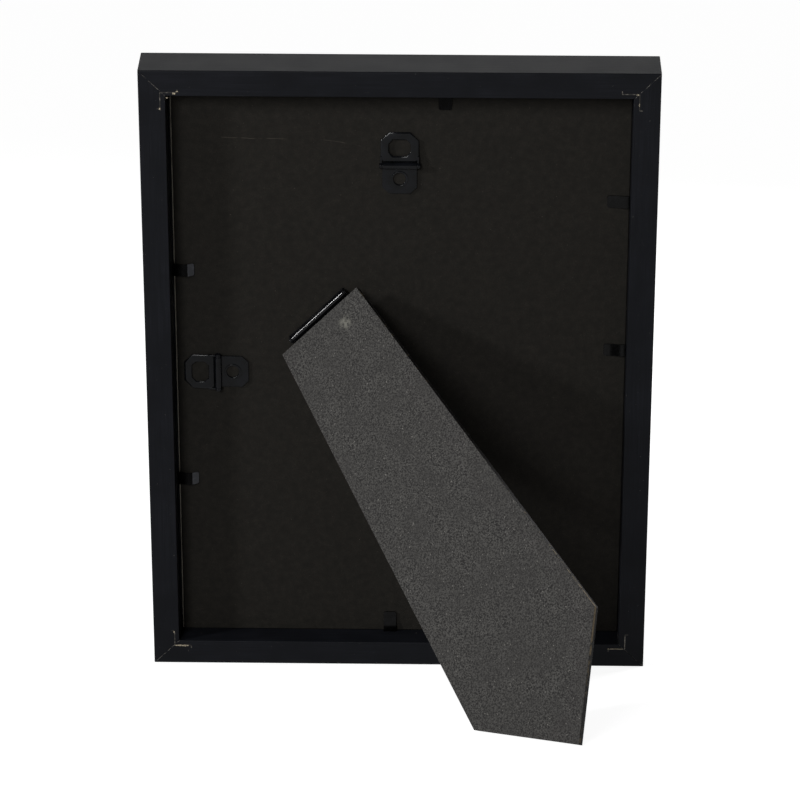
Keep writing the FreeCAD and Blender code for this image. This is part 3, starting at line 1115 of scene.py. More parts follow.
@dataclass(frozen=True)
class InsertPaper(Finish):
    """Plain uncoated insert paper, with a thin grey line printed inside its edge on the front.

    Attributes:
        lean: Angle by which the frame leans back, in radians.
        centre: Middle of the sheet in metres.
        half_size: Half of its width and height in millimetres.
    """

    lean: float
    centre: Place
    half_size: tuple[float, float]
    ground: str = "#e6e2d8"
    fibre: str = "#dcd7cb"
    ink: str = "#8c887f"
    rough: float = 0.9
    gloss: float = 0.2
    line_inset: float = 22.0
    line_width: float = 0.5
    fibre_size: float = 0.8
    fibre_depth: float = 0.01

    def surface(self, tree: Tree, place: Socket) -> Node:
        """Builds paper fibres and the printed line.

        Args:
            tree: Node tree of the finish.
            place: Object coordinates in metres.

        Returns:
            The shader.
        """
        fibre = cloud(tree, place, self.fibre_size, detail=4.0)
        centred = add(tree, "Mapping", {"vector_type": "TEXTURE"}, {
            "Vector": place, "Location": self.centre, "Rotation": (-self.lean, 0, 0),
        })
        parts = add(tree, "SeparateXYZ", inputs={"Vector": centred}).outputs
        sides = []
        for name, half in zip("XZ", self.half_size):
            side = add(tree, "Math", {"operation": "ABSOLUTE"}, {0: parts[name]})
            edge = (half - self.line_inset) * MM
            sides.append(add(tree, "Math", {"operation": "SUBTRACT"}, {0: side, 1: edge}))
        off = add(tree, "Math", {"operation": "MAXIMUM"}, dict(enumerate(sides)))
        line = add(tree, "Math", {"operation": "COMPARE"}, {0: off, 1: 0.0, 2: self.line_width / 2 * MM})
        return add(tree, "BsdfPrincipled", inputs={
            "Base Color": layered(tree, self.ground, (fibre, self.fibre), (line, self.ink)),
            "Roughness": self.rough, "Specular IOR Level": self.gloss,
            "Normal": add(tree, "Bump", inputs={"Height": fibre, "Distance": self.fibre_depth * MM}),
        })


@dataclass(frozen=True)
class PaleFloor(Finish):
    """Matt white paper sweep: the photograph's white, with the object's soft shadow on it.

    Attributes:
        near_glow: White that the eye sees under the object.
        far_glow: White that the eye sees far away, where the lamps reach less.
        near: Distance in metres up to which the first holds.
        far: Distance in metres from which the second holds.
    """

    paper: str = "#b0b0b0"
    fibre: str = "#aaaaaa"
    veil: str = "#a0a0a0"
    white: str = "#ffffff"
    fibre_size: float = 6.0
    near_glow: float = 0.85
    far_glow: float = 0.96
    near: float = 0.35
    far: float = 1.2

    def surface(self, tree: Tree, place: Socket) -> Node:
        """Builds paper that is white to the eye where nothing shades it.

        Args:
            tree: Node tree of the finish.
            place: Object coordinates in metres.

        Returns:
            The shader.
        """
        fibre = cloud(tree, place, self.fibre_size)
        colour = layered(tree, self.paper, (fibre, self.fibre))
        distance = add(tree, "VectorMath", {"operation": "LENGTH"}, {0: place})
        glow = add(tree, "MapRange", inputs={
            "Value": distance, "From Min": self.near, "From Max": self.far,
            "To Min": self.near_glow, "To Max": self.far_glow,
        })
        shown = add(tree, "AddShader", inputs={
            0: add(tree, "Emission", inputs={"Color": self.white, "Strength": glow}),
            1: add(tree, "BsdfDiffuse", inputs={"Color": self.veil}),
        })
        rays = add(tree, "LightPath").outputs
        direct = add(tree, "Math", {"operation": "MAXIMUM"}, {
            0: rays["Is Camera Ray"], 1: rays["Is Glossy Ray"],
        })
        direct = add(tree, "Math", {"operation": "MAXIMUM"}, {0: direct, 1: rays["Is Transmission Ray"]})
        paper = add(tree, "BsdfDiffuse", inputs={"Color": colour})
        return add(tree, "MixShader", inputs={0: direct, 1: paper, 2: shown})


# Pieces
@dataclass
class Moulding:
    """Four mitred rails with the pocket that takes the picture.

    Attributes:
        axes: Axes of the frame.
        width: Outer width of the frame.
        height: Outer height of the frame.
    """

    axes: FrameAxes
    width: float = 203.0
    height: float = 263.0
    rail_width: float = 10.5
    depth: float = 20.0
    lip_overlap: float = 5.5
    lip_thickness: float = 4.4
    back_radius: float = 0.5
    front_radius: float = 0.8
    lip_radius: float = 0.6
    rebate_radius: float = 0.3
    mitre_gap: float = 0.03
    mitre_chip: float = 0.14
    smooth_angle: float = 30.0

    def rail(self, name: str, length: float) -> Piece:
        """Models one rail lying along X with its outer face down.

        Args:
            name: Name of the rail.
            length: Outer length in millimetres.

        Returns:
            The rail, its mitre arrises on the second material slot.
        """
        half = length / 2
        inner = self.rail_width + self.lip_overlap
        lip_back = (self.lip_thickness - self.depth) * MM
        piece = block(name, (-half, -self.depth, 0), (half, 0, self.rail_width))
        with editing(piece):
            bpy.ops.mesh.select_all(action="SELECT")
            bpy.ops.mesh.bisect(plane_co=(0, lip_back, 0), plane_no=(0, 1, 0), threshold=TINY)
            choose(
                piece, Element.FACE, lambda face: faces_up(face) and face.calc_center_median().y < lip_back
            )
            bpy.ops.mesh.extrude_region_move(TRANSFORM_OT_translate={"value": (0, 0, self.lip_overlap * MM)})
            bpy.ops.mesh.select_all(action="SELECT")
            bpy.ops.mesh.dissolve_limited(angle_limit=math.radians(1))
        for y, z, radius in (
            (0, 0, self.back_radius), (-self.depth, 0, self.front_radius),
            (-self.depth, inner, self.lip_radius), (0, self.rail_width, self.rebate_radius),
        ):
            bevel_edges(piece, runs_along(0, {1: y, 2: z}), radius, 5)
        open_slots(piece)
        end = (half - self.mitre_gap) * MM
        with editing(piece):
            for side in (1, -1):
                bpy.ops.mesh.select_all(action="SELECT")
                bpy.ops.mesh.bisect(
                    plane_co=(side * end, 0, 0), plane_no=(side, 0, 1), threshold=TINY,
                    clear_outer=True, use_fill=True,
                )
            choose(piece, Element.EDGE, lambda edge: edge.verts[0].co.x * edge.verts[1].co.x > 0 and all(
                abs(abs(vert.co.x) + vert.co.z - end) < TINY for vert in edge.verts
            ))
            bpy.ops.mesh.bevel(
                offset=self.mitre_chip * MM, segments=1, affect="EDGES", material=1, clamp_overlap=False
            )
        shade(piece, self.smooth_angle)
        return piece

    def build(self) -> None:
        """Builds the four rails and lays them round the frame."""
        a = self.axes
        half, middle = self.width / 2, self.height / 2
        flat = FoilOnFibreboard("black_foil_on_fibreboard_level", a.lean(), False)
        tall = FoilOnFibreboard("black_foil_on_fibreboard_upright", a.lean(), True)
        mitre = ChippedMitre("foil_chipped_at_mitre")
        for node, length, origin, inward, foil in (
            ("bottom_rail", self.width, a.point(0, 0, 0), a.up, flat),
            ("top_rail", self.width, a.point(0, 0, self.height), -a.up, flat),
            ("left_rail", self.height, a.point(half, 0, middle), -a.across, tall),
            ("right_rail", self.height, a.point(-half, 0, middle), a.across, tall),
        ):
            place = axes_at(origin, a.out.cross(inward), a.out, inward)
            piece = lay(self.rail("foiled_" + node, length), place)
            hand_over(piece, (foil, mitre), "frame", "black_moulding", node)


@dataclass
class CornerNails:
    """V-shaped nails pressed across the mitres, with the fibre that they tore up.

    Attributes:
        axes: Axes of the frame.
        moulding: The rails that they hold.
        shifts: How far each nail stands off its usual place, along both rails.
        torn: Each splinter's corner, its place from the nail's bend along both rails, its
            length and its width.
    """

    axes: FrameAxes
    moulding: Moulding
    inset: float = 8.3
    leg: float = 6.8
    hook: float = 1.3
    gauge: float = 0.4
    height: float = 10.0
    proud: float = 0.05
    bend: float = 0.35
    arris: float = 0.06
    smooth_angle: float = 30.0
    shifts: tuple[tuple[float, float], ...] = ((0.4, 0.1), (0.2, 0.75), (-0.4, -0.1), (0.0, 0.25))
    torn: tuple[tuple[int, float, float, float, float], ...] = (
        (0, 2.9, -0.1, 5.6, 0.42), (0, 3.2, -0.15, 2.4, 0.6), (0, -0.25, 6.3, 0.7, 0.4),
        (1, 5.5, 0.3, 1.2, 0.7), (1, 6.7, -0.5, 0.8, 0.35), (1, -0.2, 6.8, 0.7, 0.6), (1, 2.7, 2.2, 0.7, 0.3),
        (2, 3.4, 0.15, 5.4, 0.25), (2, 6.7, 0.1, 0.6, 0.5),
        (3, 0.8, 0.15, 0.9, 0.45), (3, 0.1, 4.4, 1.2, 0.25),
    )

    def nail(self, name: str) -> Piece:
        """Models one nail as a strip on edge, bent to a V with hooked ends.

        Args:
            name: Name of the nail.

        Returns:
            The nail.
        """
        far = self.inset + self.leg
        hook = self.inset - self.hook
        path = [(far, hook), (far, self.inset), (self.inset, self.inset), (self.inset, far), (hook, far)]
        piece = bent_strip(name, path, self.height)
        bevel_edges(piece, lies_on(path[1:-1]), self.bend, 4)
        thicken(piece, self.gauge)
        soften(piece, self.arris)
        return piece

    def splinters(self, name: str, corner: int) -> Piece:
        """Models the torn fibre at one corner, flat in the nail's axes.

        Args:
            name: Name of the new object.
            corner: Number of the corner.

        Returns:
            The splinters.
        """
        pieces = []
        for k, (where, u, v, length, width) in enumerate(self.torn):
            if where != corner:
                continue
            run = (length, width) if u > v else (width, length)
            low = (-self.gauge / 4, self.inset + u - run[0] / 2, self.inset + v - run[1] / 2)
            high = (self.gauge / 3, self.inset + u + run[0] / 2, self.inset + v + run[1] / 2)
            splinter = block(name + str(k), low, high)
            with editing(splinter):
                bpy.ops.mesh.select_all(action="SELECT")
                bpy.ops.mesh.subdivide(number_cuts=4)
                bpy.ops.transform.vertex_random(offset=width * MM / 4, uniform=1.0, seed=k + 3)
                bpy.ops.mesh.vertices_smooth(factor=0.4, repeat=1)
            pieces.append(splinter)
        piece = joined(pieces)
        piece.name = piece.data.name = name
        return piece

    def build(self) -> None:
        """Builds a nail and its torn fibre at each corner."""
        a, m = self.axes, self.moulding
        steel = SpringSteel("spring_steel_strip_hammered")
        fibre = TornFibre("fibreboard_torn_by_nail")
        pattern = self.nail("corner_nail")
        sunk = Matrix.Translation(((self.proud - self.height / 2) * MM, 0, 0))
        flip = axes_at(Vector(), Vector((-1, 0, 0)), Vector((0, 0, 1)), Vector((0, 1, 0)))
        for k, (side, level) in enumerate((side, level) for side in (1, -1) for level in (0, 1)):
            first, second = a.across * -side, a.up * (1 - 2 * level)
            swap = a.out.cross(first).dot(second) < 0
            origin = a.point(side * m.width / 2, 0, level * m.height)
            matrix = axes_at(origin, a.out, *((second, first) if swap else (first, second)))
            matrix.translation += (first * self.shifts[k][0] + second * self.shifts[k][1]) * MM
            piece = lay(copy_of(pattern, f"corner_nail_{k + 1}"), matrix @ sunk)
            hand_over(piece, (steel,), "frame", "nail_steel", "v_nails")
            torn = lay(self.splinters(f"torn_fibre_{k + 1}", k), matrix @ flip if swap else matrix)
            shade(torn, self.smooth_angle)
            hand_over(torn, (fibre,), "frame", "raw_fibreboard")
        bpy.data.objects.remove(pattern)


@dataclass
class PictureStack:
    """Glass, insert and backing board behind the lip.

    Attributes:
        axes: Axes of the frame.
        moulding: The rails that hold the stack.
    """

    axes: FrameAxes
    moulding: Moulding
    width: float = 180.0
    height: float = 240.0
    gap: float = 1.0
    board_growth: float = 0.9
    glass_thickness: float = 2.0
    sheet_thickness: float = 0.3
    board_thickness: float = 2.8
    glass_arris: float = 0.3
    board_arris: float = 0.4
    scratches: tuple[Scratch, ...] = (Scratch(57.0, 231.0, 26.0, 0.0), Scratch(22.0, 229.0, 24.0, 0.166))

    def slab(self, name: str, front: float, thickness: float, growth: float = 0.0) -> Piece:
        """Models one layer of the stack, in upright axes.

        Args:
            name: Name of the layer.
            front: Where its front face lies.
            thickness: Its thickness.
            growth: Length by which it is larger, towards the walls that it stands and leans on.

        Returns:
            The layer.
        """
        low = self.moulding.rail_width + self.gap
        half, back = self.width / 2, front + thickness
        return block(name, (-half - growth, front, low - growth), (half, back, low + self.height))

    def build(self) -> None:
        """Builds the three layers."""
        a, m = self.axes, self.moulding
        place = a.matrix()
        front = m.lip_thickness - m.depth
        glass = self.slab("ground_glass_pane", front, self.glass_thickness)
        soften(glass, self.glass_arris)
        hand_over(lay(glass, place), (FloatGlass("clear_float_glass"),), "frame", "float_glass", "glass_pane")

        front += self.glass_thickness
        sheet = self.slab("printed_insert", front, self.sheet_thickness)
        soften(sheet, self.sheet_thickness / 5, 1)
        middle = tuple(a.point(0, front, m.height / 2))
        paper = InsertPaper("uncoated_insert_paper", a.lean(), middle, (self.width / 2, self.height / 2))
        hand_over(lay(sheet, place), (paper,), "frame", "insert_paper", "print_sheet")

        front += self.sheet_thickness
        board = self.slab("dyed_backing_board", front, self.board_thickness, self.board_growth)
        soften(board, self.board_arris, 1)
        open_slots(board)
        with editing(board):
            # Painted highlight: only the edge faces that look to +X, towards the lamps, get the pale edge
            # finish.
            choose(board, Element.FACE, lambda face: face.normal.x > 0.5)
            use_second_slot(board)
        foot = a.origin.dot(a.up) / MM
        dyed = DyedHardboard("hardboard_dyed_through", a.lean(), foot, self.scratches)
        edge = CutHardboard("hardboard_guillotined_edge")
        hand_over(lay(board, place), (dyed, edge), "frame", "dark_hardboard", "backing_board")


@dataclass
class BendTabs:
    """Spring strips that are pressed into the rebate wall and bent over the board.

    Attributes:
        axes: Axes of the frame.
        moulding: The rails that they are pressed into.
        recess: Depth of the board's back face under the back of the rails.
    """

    axes: FrameAxes
    moulding: Moulding
    recess: float = 10.5
    width: float = 5.2
    length: float = 9.0
    gauge: float = 0.5
    anchor_depth: float = 5.0
    slot_height: float = 1.0
    root_gap: float = 0.1
    seat_gap: float = 0.1
    corner: float = 0.8
    arris: float = 0.09
    crest_share: float = 0.3
    foot_share: float = 0.62
    bow_share: float = 0.64
    bow_height: float = 2.0
    bend_run: float = 1.1

    def blade(self, name: str, bowed: bool) -> Piece:
        """Models one tab from its slot to its tip.

        Args:
            name: Name of the tab.
            bowed: Whether it rises in one bow to a tip that slopes down, and doesn't lie flat.

        Returns:
            The tab, lying along Y on the board, with a material slot of its own for the tip.
        """
        seat = self.gauge / 2 + self.seat_gap
        bends = [(self.length * self.crest_share, self.slot_height), (self.length * self.foot_share, seat)]
        if bowed:
            bends = [(self.length * self.bow_share, self.bow_height)]
        path = [(self.gauge / 2 + self.root_gap, self.slot_height), *bends, (self.length, seat)]
        tip_start = (bends[-1][0] + self.bend_run / 2) * MM
        piece = bent_strip(name, path, self.width)
        open_slots(piece)
        bevel_edges(piece, lies_on(bends), self.bend_run, 6)
        # The tip's faces go on a slot of their own, which on the left tabs carries a painted highlight.
        with editing(piece):
            choose(piece, Element.FACE, lambda face: face.calc_center_median().y > tip_start)
            use_second_slot(piece)
        cut_corners(piece, lambda vert: vert.co.y > self.length * MM - TINY, self.corner, 4)
        thicken(piece, self.gauge)
        soften(piece, self.arris)
        return piece

    def build(self) -> None:
        """Builds the six tabs and the parts of them that are in the rails."""
        a, m = self.axes, self.moulding
        wall = m.width / 2 - m.rail_width
        middle = m.height / 2
        half, rise = self.width / 2, self.gauge / 2
        steel = BlackedSteel("spring_strip_blackened")
        oily = BlackedSteel("spring_strip_blackened_oiled", gloss=0.09)
        # Painted highlight: the pale grey tip colour of the left tabs stands in for light on their sloping
        # tips; the blackened steel itself is no paler there.
        rubbed = BlackedSteel("spring_strip_rubbed_by_board", "#313235", "#46474b", gloss=0.09)
        for node, x, z, away, finish, tip in (
            ("top_tab", -17.8, m.height - m.rail_width, -a.up, steel, steel),
            ("bottom_tab", 3.8, m.rail_width, a.up, oily, oily),
            ("left_upper_tab", wall, middle + 43.0, -a.across, steel, rubbed),
            ("left_lower_tab", wall, middle - 50.1, -a.across, steel, rubbed),
            ("right_upper_tab", -wall, middle + 73.6, a.across, oily, oily),
            ("right_lower_tab", -wall, middle + 9.0, a.across, oily, oily),
        ):
            place = sheet_axes(a.point(x, -self.recess, z), away, a.out)
            piece = lay(self.blade("blackened_" + node, tip is rubbed), place)
            hand_over(piece, (finish, tip), node + "_blade", "black_tab_steel", node)
            anchor = block(
                "driven_root_of_" + node, (-half, -self.anchor_depth, self.slot_height - rise),
                (half, self.root_gap, self.slot_height + rise),
            )
            soften(anchor, self.arris)
            hand_over(lay(anchor, place), (steel,), "frame", "black_tab_steel", "tab_anchors")


@dataclass
class StrapHanger:
    """Hanger of a plate rolled round a pin, an eyelet through it and a loop that swings.

    Attributes:
        name: Which of the two hangers it is.
        matrix: Its axes: the pin lies on X, the loop on +Y, the board's back face on Z zero.
    """

    name: str
    matrix: Matrix
    width: float = 13.6
    length: float = 12.2
    gauge: float = 0.7
    corner: float = 2.6
    plate_round: float = 0.12
    rivet_place: float = 5.9
    pin_radius: float = 0.7
    head_radius: float = 1.05
    head_length: float = 0.4
    head_dome: float = 0.37
    clearance: float = 0.05
    side_clearance: float = 0.15
    roll_end: float = 200.0
    loop_width: float = 15.0
    loop_reach: float = 13.8
    loop_band: float = 3.1
    near_bar: float = 2.3
    loop_gauge: float = 0.9
    loop_chamfer: float = 3.4
    hole_chamfer: float = 1.7
    loop_round: float = 0.18
    loop_angle: float = 35.0
    crown_width: float = 0.75
    crown_height: float = 0.42
    ear_gauge: float = 0.7
    ear_radius: float = 1.3
    ear_dome: float = 0.12
    arm_round: float = 0.15
    rest_gap: float = 0.05
    tube_radius: float = 2.8
    tube_wall: float = 0.35
    rim_radius: float = 3.3
    rim_height: float = 0.35
    rim_round: float = 0.168
    bore_depth: float = 0.55
    funnel: float = 0.5
    slack: float = 0.02

    def axis_height(self) -> float:
        """Gives the height of the pin over the board."""
        return self.pin_radius + self.clearance + self.gauge

    def plate(self) -> Piece:
        """Models the strap, its corners cut and one end rolled round the pin.

        Returns:
            The plate with its bore.
        """
        height = self.axis_height()
        mid = self.gauge / 2
        path = [(-self.length, mid), *arc((0, height), height - mid, -90, self.roll_end)]
        piece = bent_strip(self.name + "_hanger_strap", path, self.width)
        cut_corners(piece, lambda vert: vert.co.y < -self.length * MM + TINY, self.corner)
        thicken(piece, self.gauge)
        upright = Matrix.Translation((0, -self.rivet_place * MM, 0)) @ Matrix.Rotation(-math.pi / 2, 4, "Y")
        cut(piece, lay(rod("bore", self.tube_radius, -1, 2), upright))
        soften(piece, self.plate_round, 3)
        return piece

    def eyelet(self) -> Piece:
        """Models the eyelet's rolled rim, with the board's own fibre inside it.

        Returns:
            The eyelet, the fibre on its second material slot.
        """
        low, high = self.gauge / 2, self.gauge + self.rim_height
        bore = self.tube_radius - self.tube_wall
        centre = Vector((0, -self.rivet_place, high)) * MM
        bpy.ops.object.select_all(action="DESELECT")
        bpy.ops.mesh.primitive_cylinder_add(
            vertices=64, radius=self.rim_radius * MM, depth=(high - low) * MM,
            location=(0, -self.rivet_place * MM, (low + high) / 2 * MM),
        )
        piece = settle_new(self.name + "_hanger_eyelet")
        open_slots(piece)
        with editing(piece):
            choose(piece, Element.FACE, faces_up)
            bpy.ops.mesh.inset(thickness=(self.rim_radius - bore) * MM, depth=0)
            bpy.ops.mesh.extrude_region_move(TRANSFORM_OT_translate={"value": (0, 0, -self.bore_depth * MM)})
            use_second_slot(piece)
        for radius, width in ((self.rim_radius, self.rim_round), (bore, self.funnel)):
            bevel_edges(piece, lambda edge: all(
                abs((vert.co - centre).length - radius * MM) < self.slack * MM for vert in edge.verts
            ), width, 5)
        shade(piece)
        return piece

    def pin(self) -> Piece:
        """Models the pin with its two headed ends.

        Returns:
            The pin.
        """
        half = self.width / 2 + self.side_clearance + self.ear_gauge + self.clearance
        name = self.name + "_hanger_pin"
        return headed_pin(name, self.pin_radius, half, self.head_radius, self.head_length, self.head_dome)

    def loop(self) -> Piece:
        """Models the stamped ring with its two ears, flat on the pin's plane.

        Returns:
            The loop.
        """
        half, rise = self.loop_width / 2, self.loop_gauge / 2
        near = self.axis_height() + self.side_clearance
        bar = near + self.near_bar
        rim = (half, self.loop_reach, rise - self.crown_height)
        ring = block(self.name + "_hanger_ring", (-half, near, -rise), rim)
        inner, far = half - self.loop_band, self.loop_reach - self.loop_band
        hole = block("hole", (-inner, bar, -2 * rise), (inner, far, 2 * rise))
        for side in (-1, 1):
            bevel_edges(ring, runs_along(2, {0: side * half, 1: self.loop_reach}), self.loop_chamfer)
            bevel_edges(ring, runs_along(2, {0: side * half, 1: near}), self.near_bar / 2)
        bevel_edges(hole, runs_along(2, {}), self.hole_chamfer)
        cut(ring, hole)
        with editing(ring):
            choose(ring, Element.FACE, faces_up)
            bpy.ops.mesh.inset(thickness=self.crown_width * MM, depth=self.crown_height * MM)
        soften(ring, self.loop_round, 3, self.loop_angle)
        pieces = [ring]
        gap = self.width / 2 + self.side_clearance
        for side in (-1, 1):
            start, end = side * gap, side * (gap + self.ear_gauge)
            pieces.append(rod("ear", self.ear_radius, start, end, self.ear_dome))
            arm = block("arm", (start, 0, -rise), (end, bar, rise))
            soften(arm, self.arm_round, 3)
            pieces.append(arm)
        piece = joined(pieces)
        shade(piece)
        return piece

    def droop(self) -> float:
        """Gives the angle by which the loop's tip comes down to rest on the board, in radians.

        Returns:
            The angle.
        """
        rise = self.loop_gauge / 2
        reach = math.hypot(self.loop_reach, rise)
        return math.asin((self.axis_height() - self.rest_gap) / reach) - math.atan2(rise, self.loop_reach)

    def build(self) -> None:
        """Builds the hanger on the board."""
        lacquer = LacqueredSteel("stamped_steel_black_lacquer")
        core = DyedHardboard("hardboard_core_in_eyelet")
        raised = self.matrix @ Matrix.Translation((0, 0, self.axis_height() * MM))
        hung = raised @ Matrix.Rotation(-self.droop(), 4, "X")
        for model, place, finishes, body, node in (
            (self.plate, self.matrix, (lacquer,), "frame", self.name + "_hanger_plate"),
            (self.eyelet, self.matrix, (lacquer, core), "frame", "hanger_rivets"),
            (self.pin, raised, (lacquer,), "frame", "hanger_pins"),
            (self.loop, hung, (lacquer,), self.name + "_loop", self.name + "_hanger_loop"),
        ):
            hand_over(lay(model(), place), finishes, body, "black_hanger_steel", node)


@dataclass
class StrutHinge:
    """Steel hinge of the leg: a leaf on the board, a leaf on the leg, a pin and four rivets.

    Attributes:
        matrix: Its axes: the pin lies on X, the folded leg on +Y, Z stands out of the board.
        open_angle: Angle of the open leg in degrees.
    """

    matrix: Matrix
    open_angle: float = 46.6
    pin_radius: float = 0.7
    head_radius: float = 1.2
    head_length: float = 0.5
    head_dome: float = 0.22
    board_gauge: float = 0.7
    board_length: float = 21.0
    board_round: float = 0.12
    leg_gauge: float = 0.6
    leg_length: float = 15.6
    leg_round: float = 0.1
    knuckle: float = 28.9
    ear_gauge: float = 0.7
    ear_radius: float = 1.4
    ear_round: float = 1.372
    leaf_corner: float = 2.5
    tail_width: float = 8.0
    tail_length: float = 1.4
    side_clearance: float = 0.15
    clearance: float = 0.05
    leaf_clearance: float = 0.1
    rivet_head_radius: float = 2.6
    rivet_head: float = 0.5
    rivet_dome: float = 0.35
    rivet_spacing: float = 18.6
    leg_rivet_place: float = 11.6
    board_rivet_place: float = 17.0
    roll_end: float = -405.0

    def axis_height(self) -> float:
        """Gives the height of the pin over the board."""
        return self.board_gauge + self.leaf_clearance + self.knuckle_radius()

    def knuckle_radius(self) -> float:
        """Gives the outer radius of the rolled knuckle."""
        return self.pin_radius + self.clearance + self.leg_gauge

    def half_span(self) -> float:
        """Gives half of the width over both ears."""
        return self.knuckle / 2 + self.side_clearance + self.ear_gauge

    def leg_matrix(self) -> Matrix:
        """Gives the axes of the open leg."""
        return self.matrix @ Matrix.Rotation(math.radians(self.open_angle), 4, "X")

    def board_leaf(self) -> Piece:
        """Models the leaf on the board with an ear at each end of the knuckle.

        Returns:
            The leaf.
        """
        low, half, radius = -self.axis_height(), self.half_span(), self.ear_radius
        name = "hinge_leaf_on_board"
        leaf = block(name, (-half, -radius, low), (half, self.board_length, low + self.board_gauge))
        for side in (-1, 1):
            bevel_edges(leaf, runs_along(2, {0: side * half, 1: self.board_length}), self.leaf_corner, 6)
        soften(leaf, self.board_round, 3)
        pieces = [leaf]
        for side in (-1, 1):
            ear = block("ear", (side * (half - self.ear_gauge), -radius, low), (side * half, radius, radius))
            for y in (-radius, radius):
                bevel_edges(ear, runs_along(0, {1: y, 2: radius}), self.ear_round, 8)
            soften(ear, self.leg_round)
            pieces.append(ear)
        return joined(pieces)

    def leg_leaf(self) -> Piece:
        """Models the leaf on the leg, rolled round the pin, with its stop tail.

        Returns:
            The leaf.
        """
        outer = self.knuckle_radius()
        radius = outer - self.leg_gauge / 2
        path = [(self.leg_length, -radius), *arc((0, 0), radius, -90, self.roll_end, 36)]
        leaf = bent_strip("hinge_leaf_on_leg", path, self.knuckle)
        cut_corners(leaf, lambda vert: vert.co.y > self.leg_length * MM - TINY, self.leaf_corner, 6)
        thicken(leaf, self.leg_gauge)
        soften(leaf, self.leg_round)
        half = self.tail_width / 2
        tail = block("tail", (-half, -self.tail_length, -outer), (half, 0, self.leg_gauge - outer))
        soften(tail, self.leg_round)
        lay(tail, Matrix.Rotation(-math.radians(self.open_angle), 4, "X"))
        return joined([leaf, tail])

    def pin(self) -> Piece:
        """Models the pin with its two flattened heads.

        Returns:
            The pin.
        """
        name = "hinge_pin_headed"
        half = self.half_span()
        return headed_pin(name, self.pin_radius, half, self.head_radius, self.head_length, self.head_dome)

    def rivet(self, name: str, place: Place, up: int) -> Piece:
        """Models one rivet head.

        Args:
            name: Name of the rivet.
            place: Where it stands on its sheet, in millimetres.
            up: 1 if the head points to +Z, -1 if it points to -Z.

        Returns:
            The rivet head, domed.
        """
        head = rod(name, self.rivet_head_radius, 0, self.rivet_head, self.rivet_dome)
        shade(head)
        turn = Matrix.Rotation(-up * math.pi / 2, 4, "Y")
        return lay(head, Matrix.Translation(Vector(place) * MM) @ turn)

    def build(self) -> None:
        """Builds the hinge on the board."""
        black = {"ground": "#050506", "other": "#09090b", "wave_depth": 0.001}
        lacquer = LacqueredSteel("hinge_steel_black_lacquer", smooth=0.11, rough=0.19, gloss=0.13, **black)
        dull = LacqueredSteel("hinge_leaf_dull_black_lacquer", smooth=0.42, rough=0.5, gloss=0.05, **black)
        leg = self.leg_matrix()
        for model, place, finish, body, node in (
            (self.board_leaf, self.matrix, dull, "frame", "hinge_board_leaf"),
            (self.pin, self.matrix, lacquer, "frame", "hinge_pin"),
            (self.leg_leaf, leg, lacquer, "leg", "hinge_leg_leaf"),
        ):
            hand_over(lay(model(), place), (finish,), body, "hinge_steel", node)
        leaf_top = self.board_gauge - self.axis_height()
        rows = (
            ("board", self.board_rivet_place, leaf_top, 1, self.matrix, "frame"),
            ("leg", self.leg_rivet_place, -self.knuckle_radius(), -1, leg, "leg"),
        )
        for k, x in enumerate((-self.rivet_spacing / 2, self.rivet_spacing / 2)):
            for leaf, y, z, up, matrix, body in rows:
                head = lay(self.rivet(f"hinge_{leaf}_rivet_{k + 1}", (x, y, z), up), matrix)
                hand_over(head, (lacquer,), body, "hinge_steel", f"hinge_{leaf}_rivets")


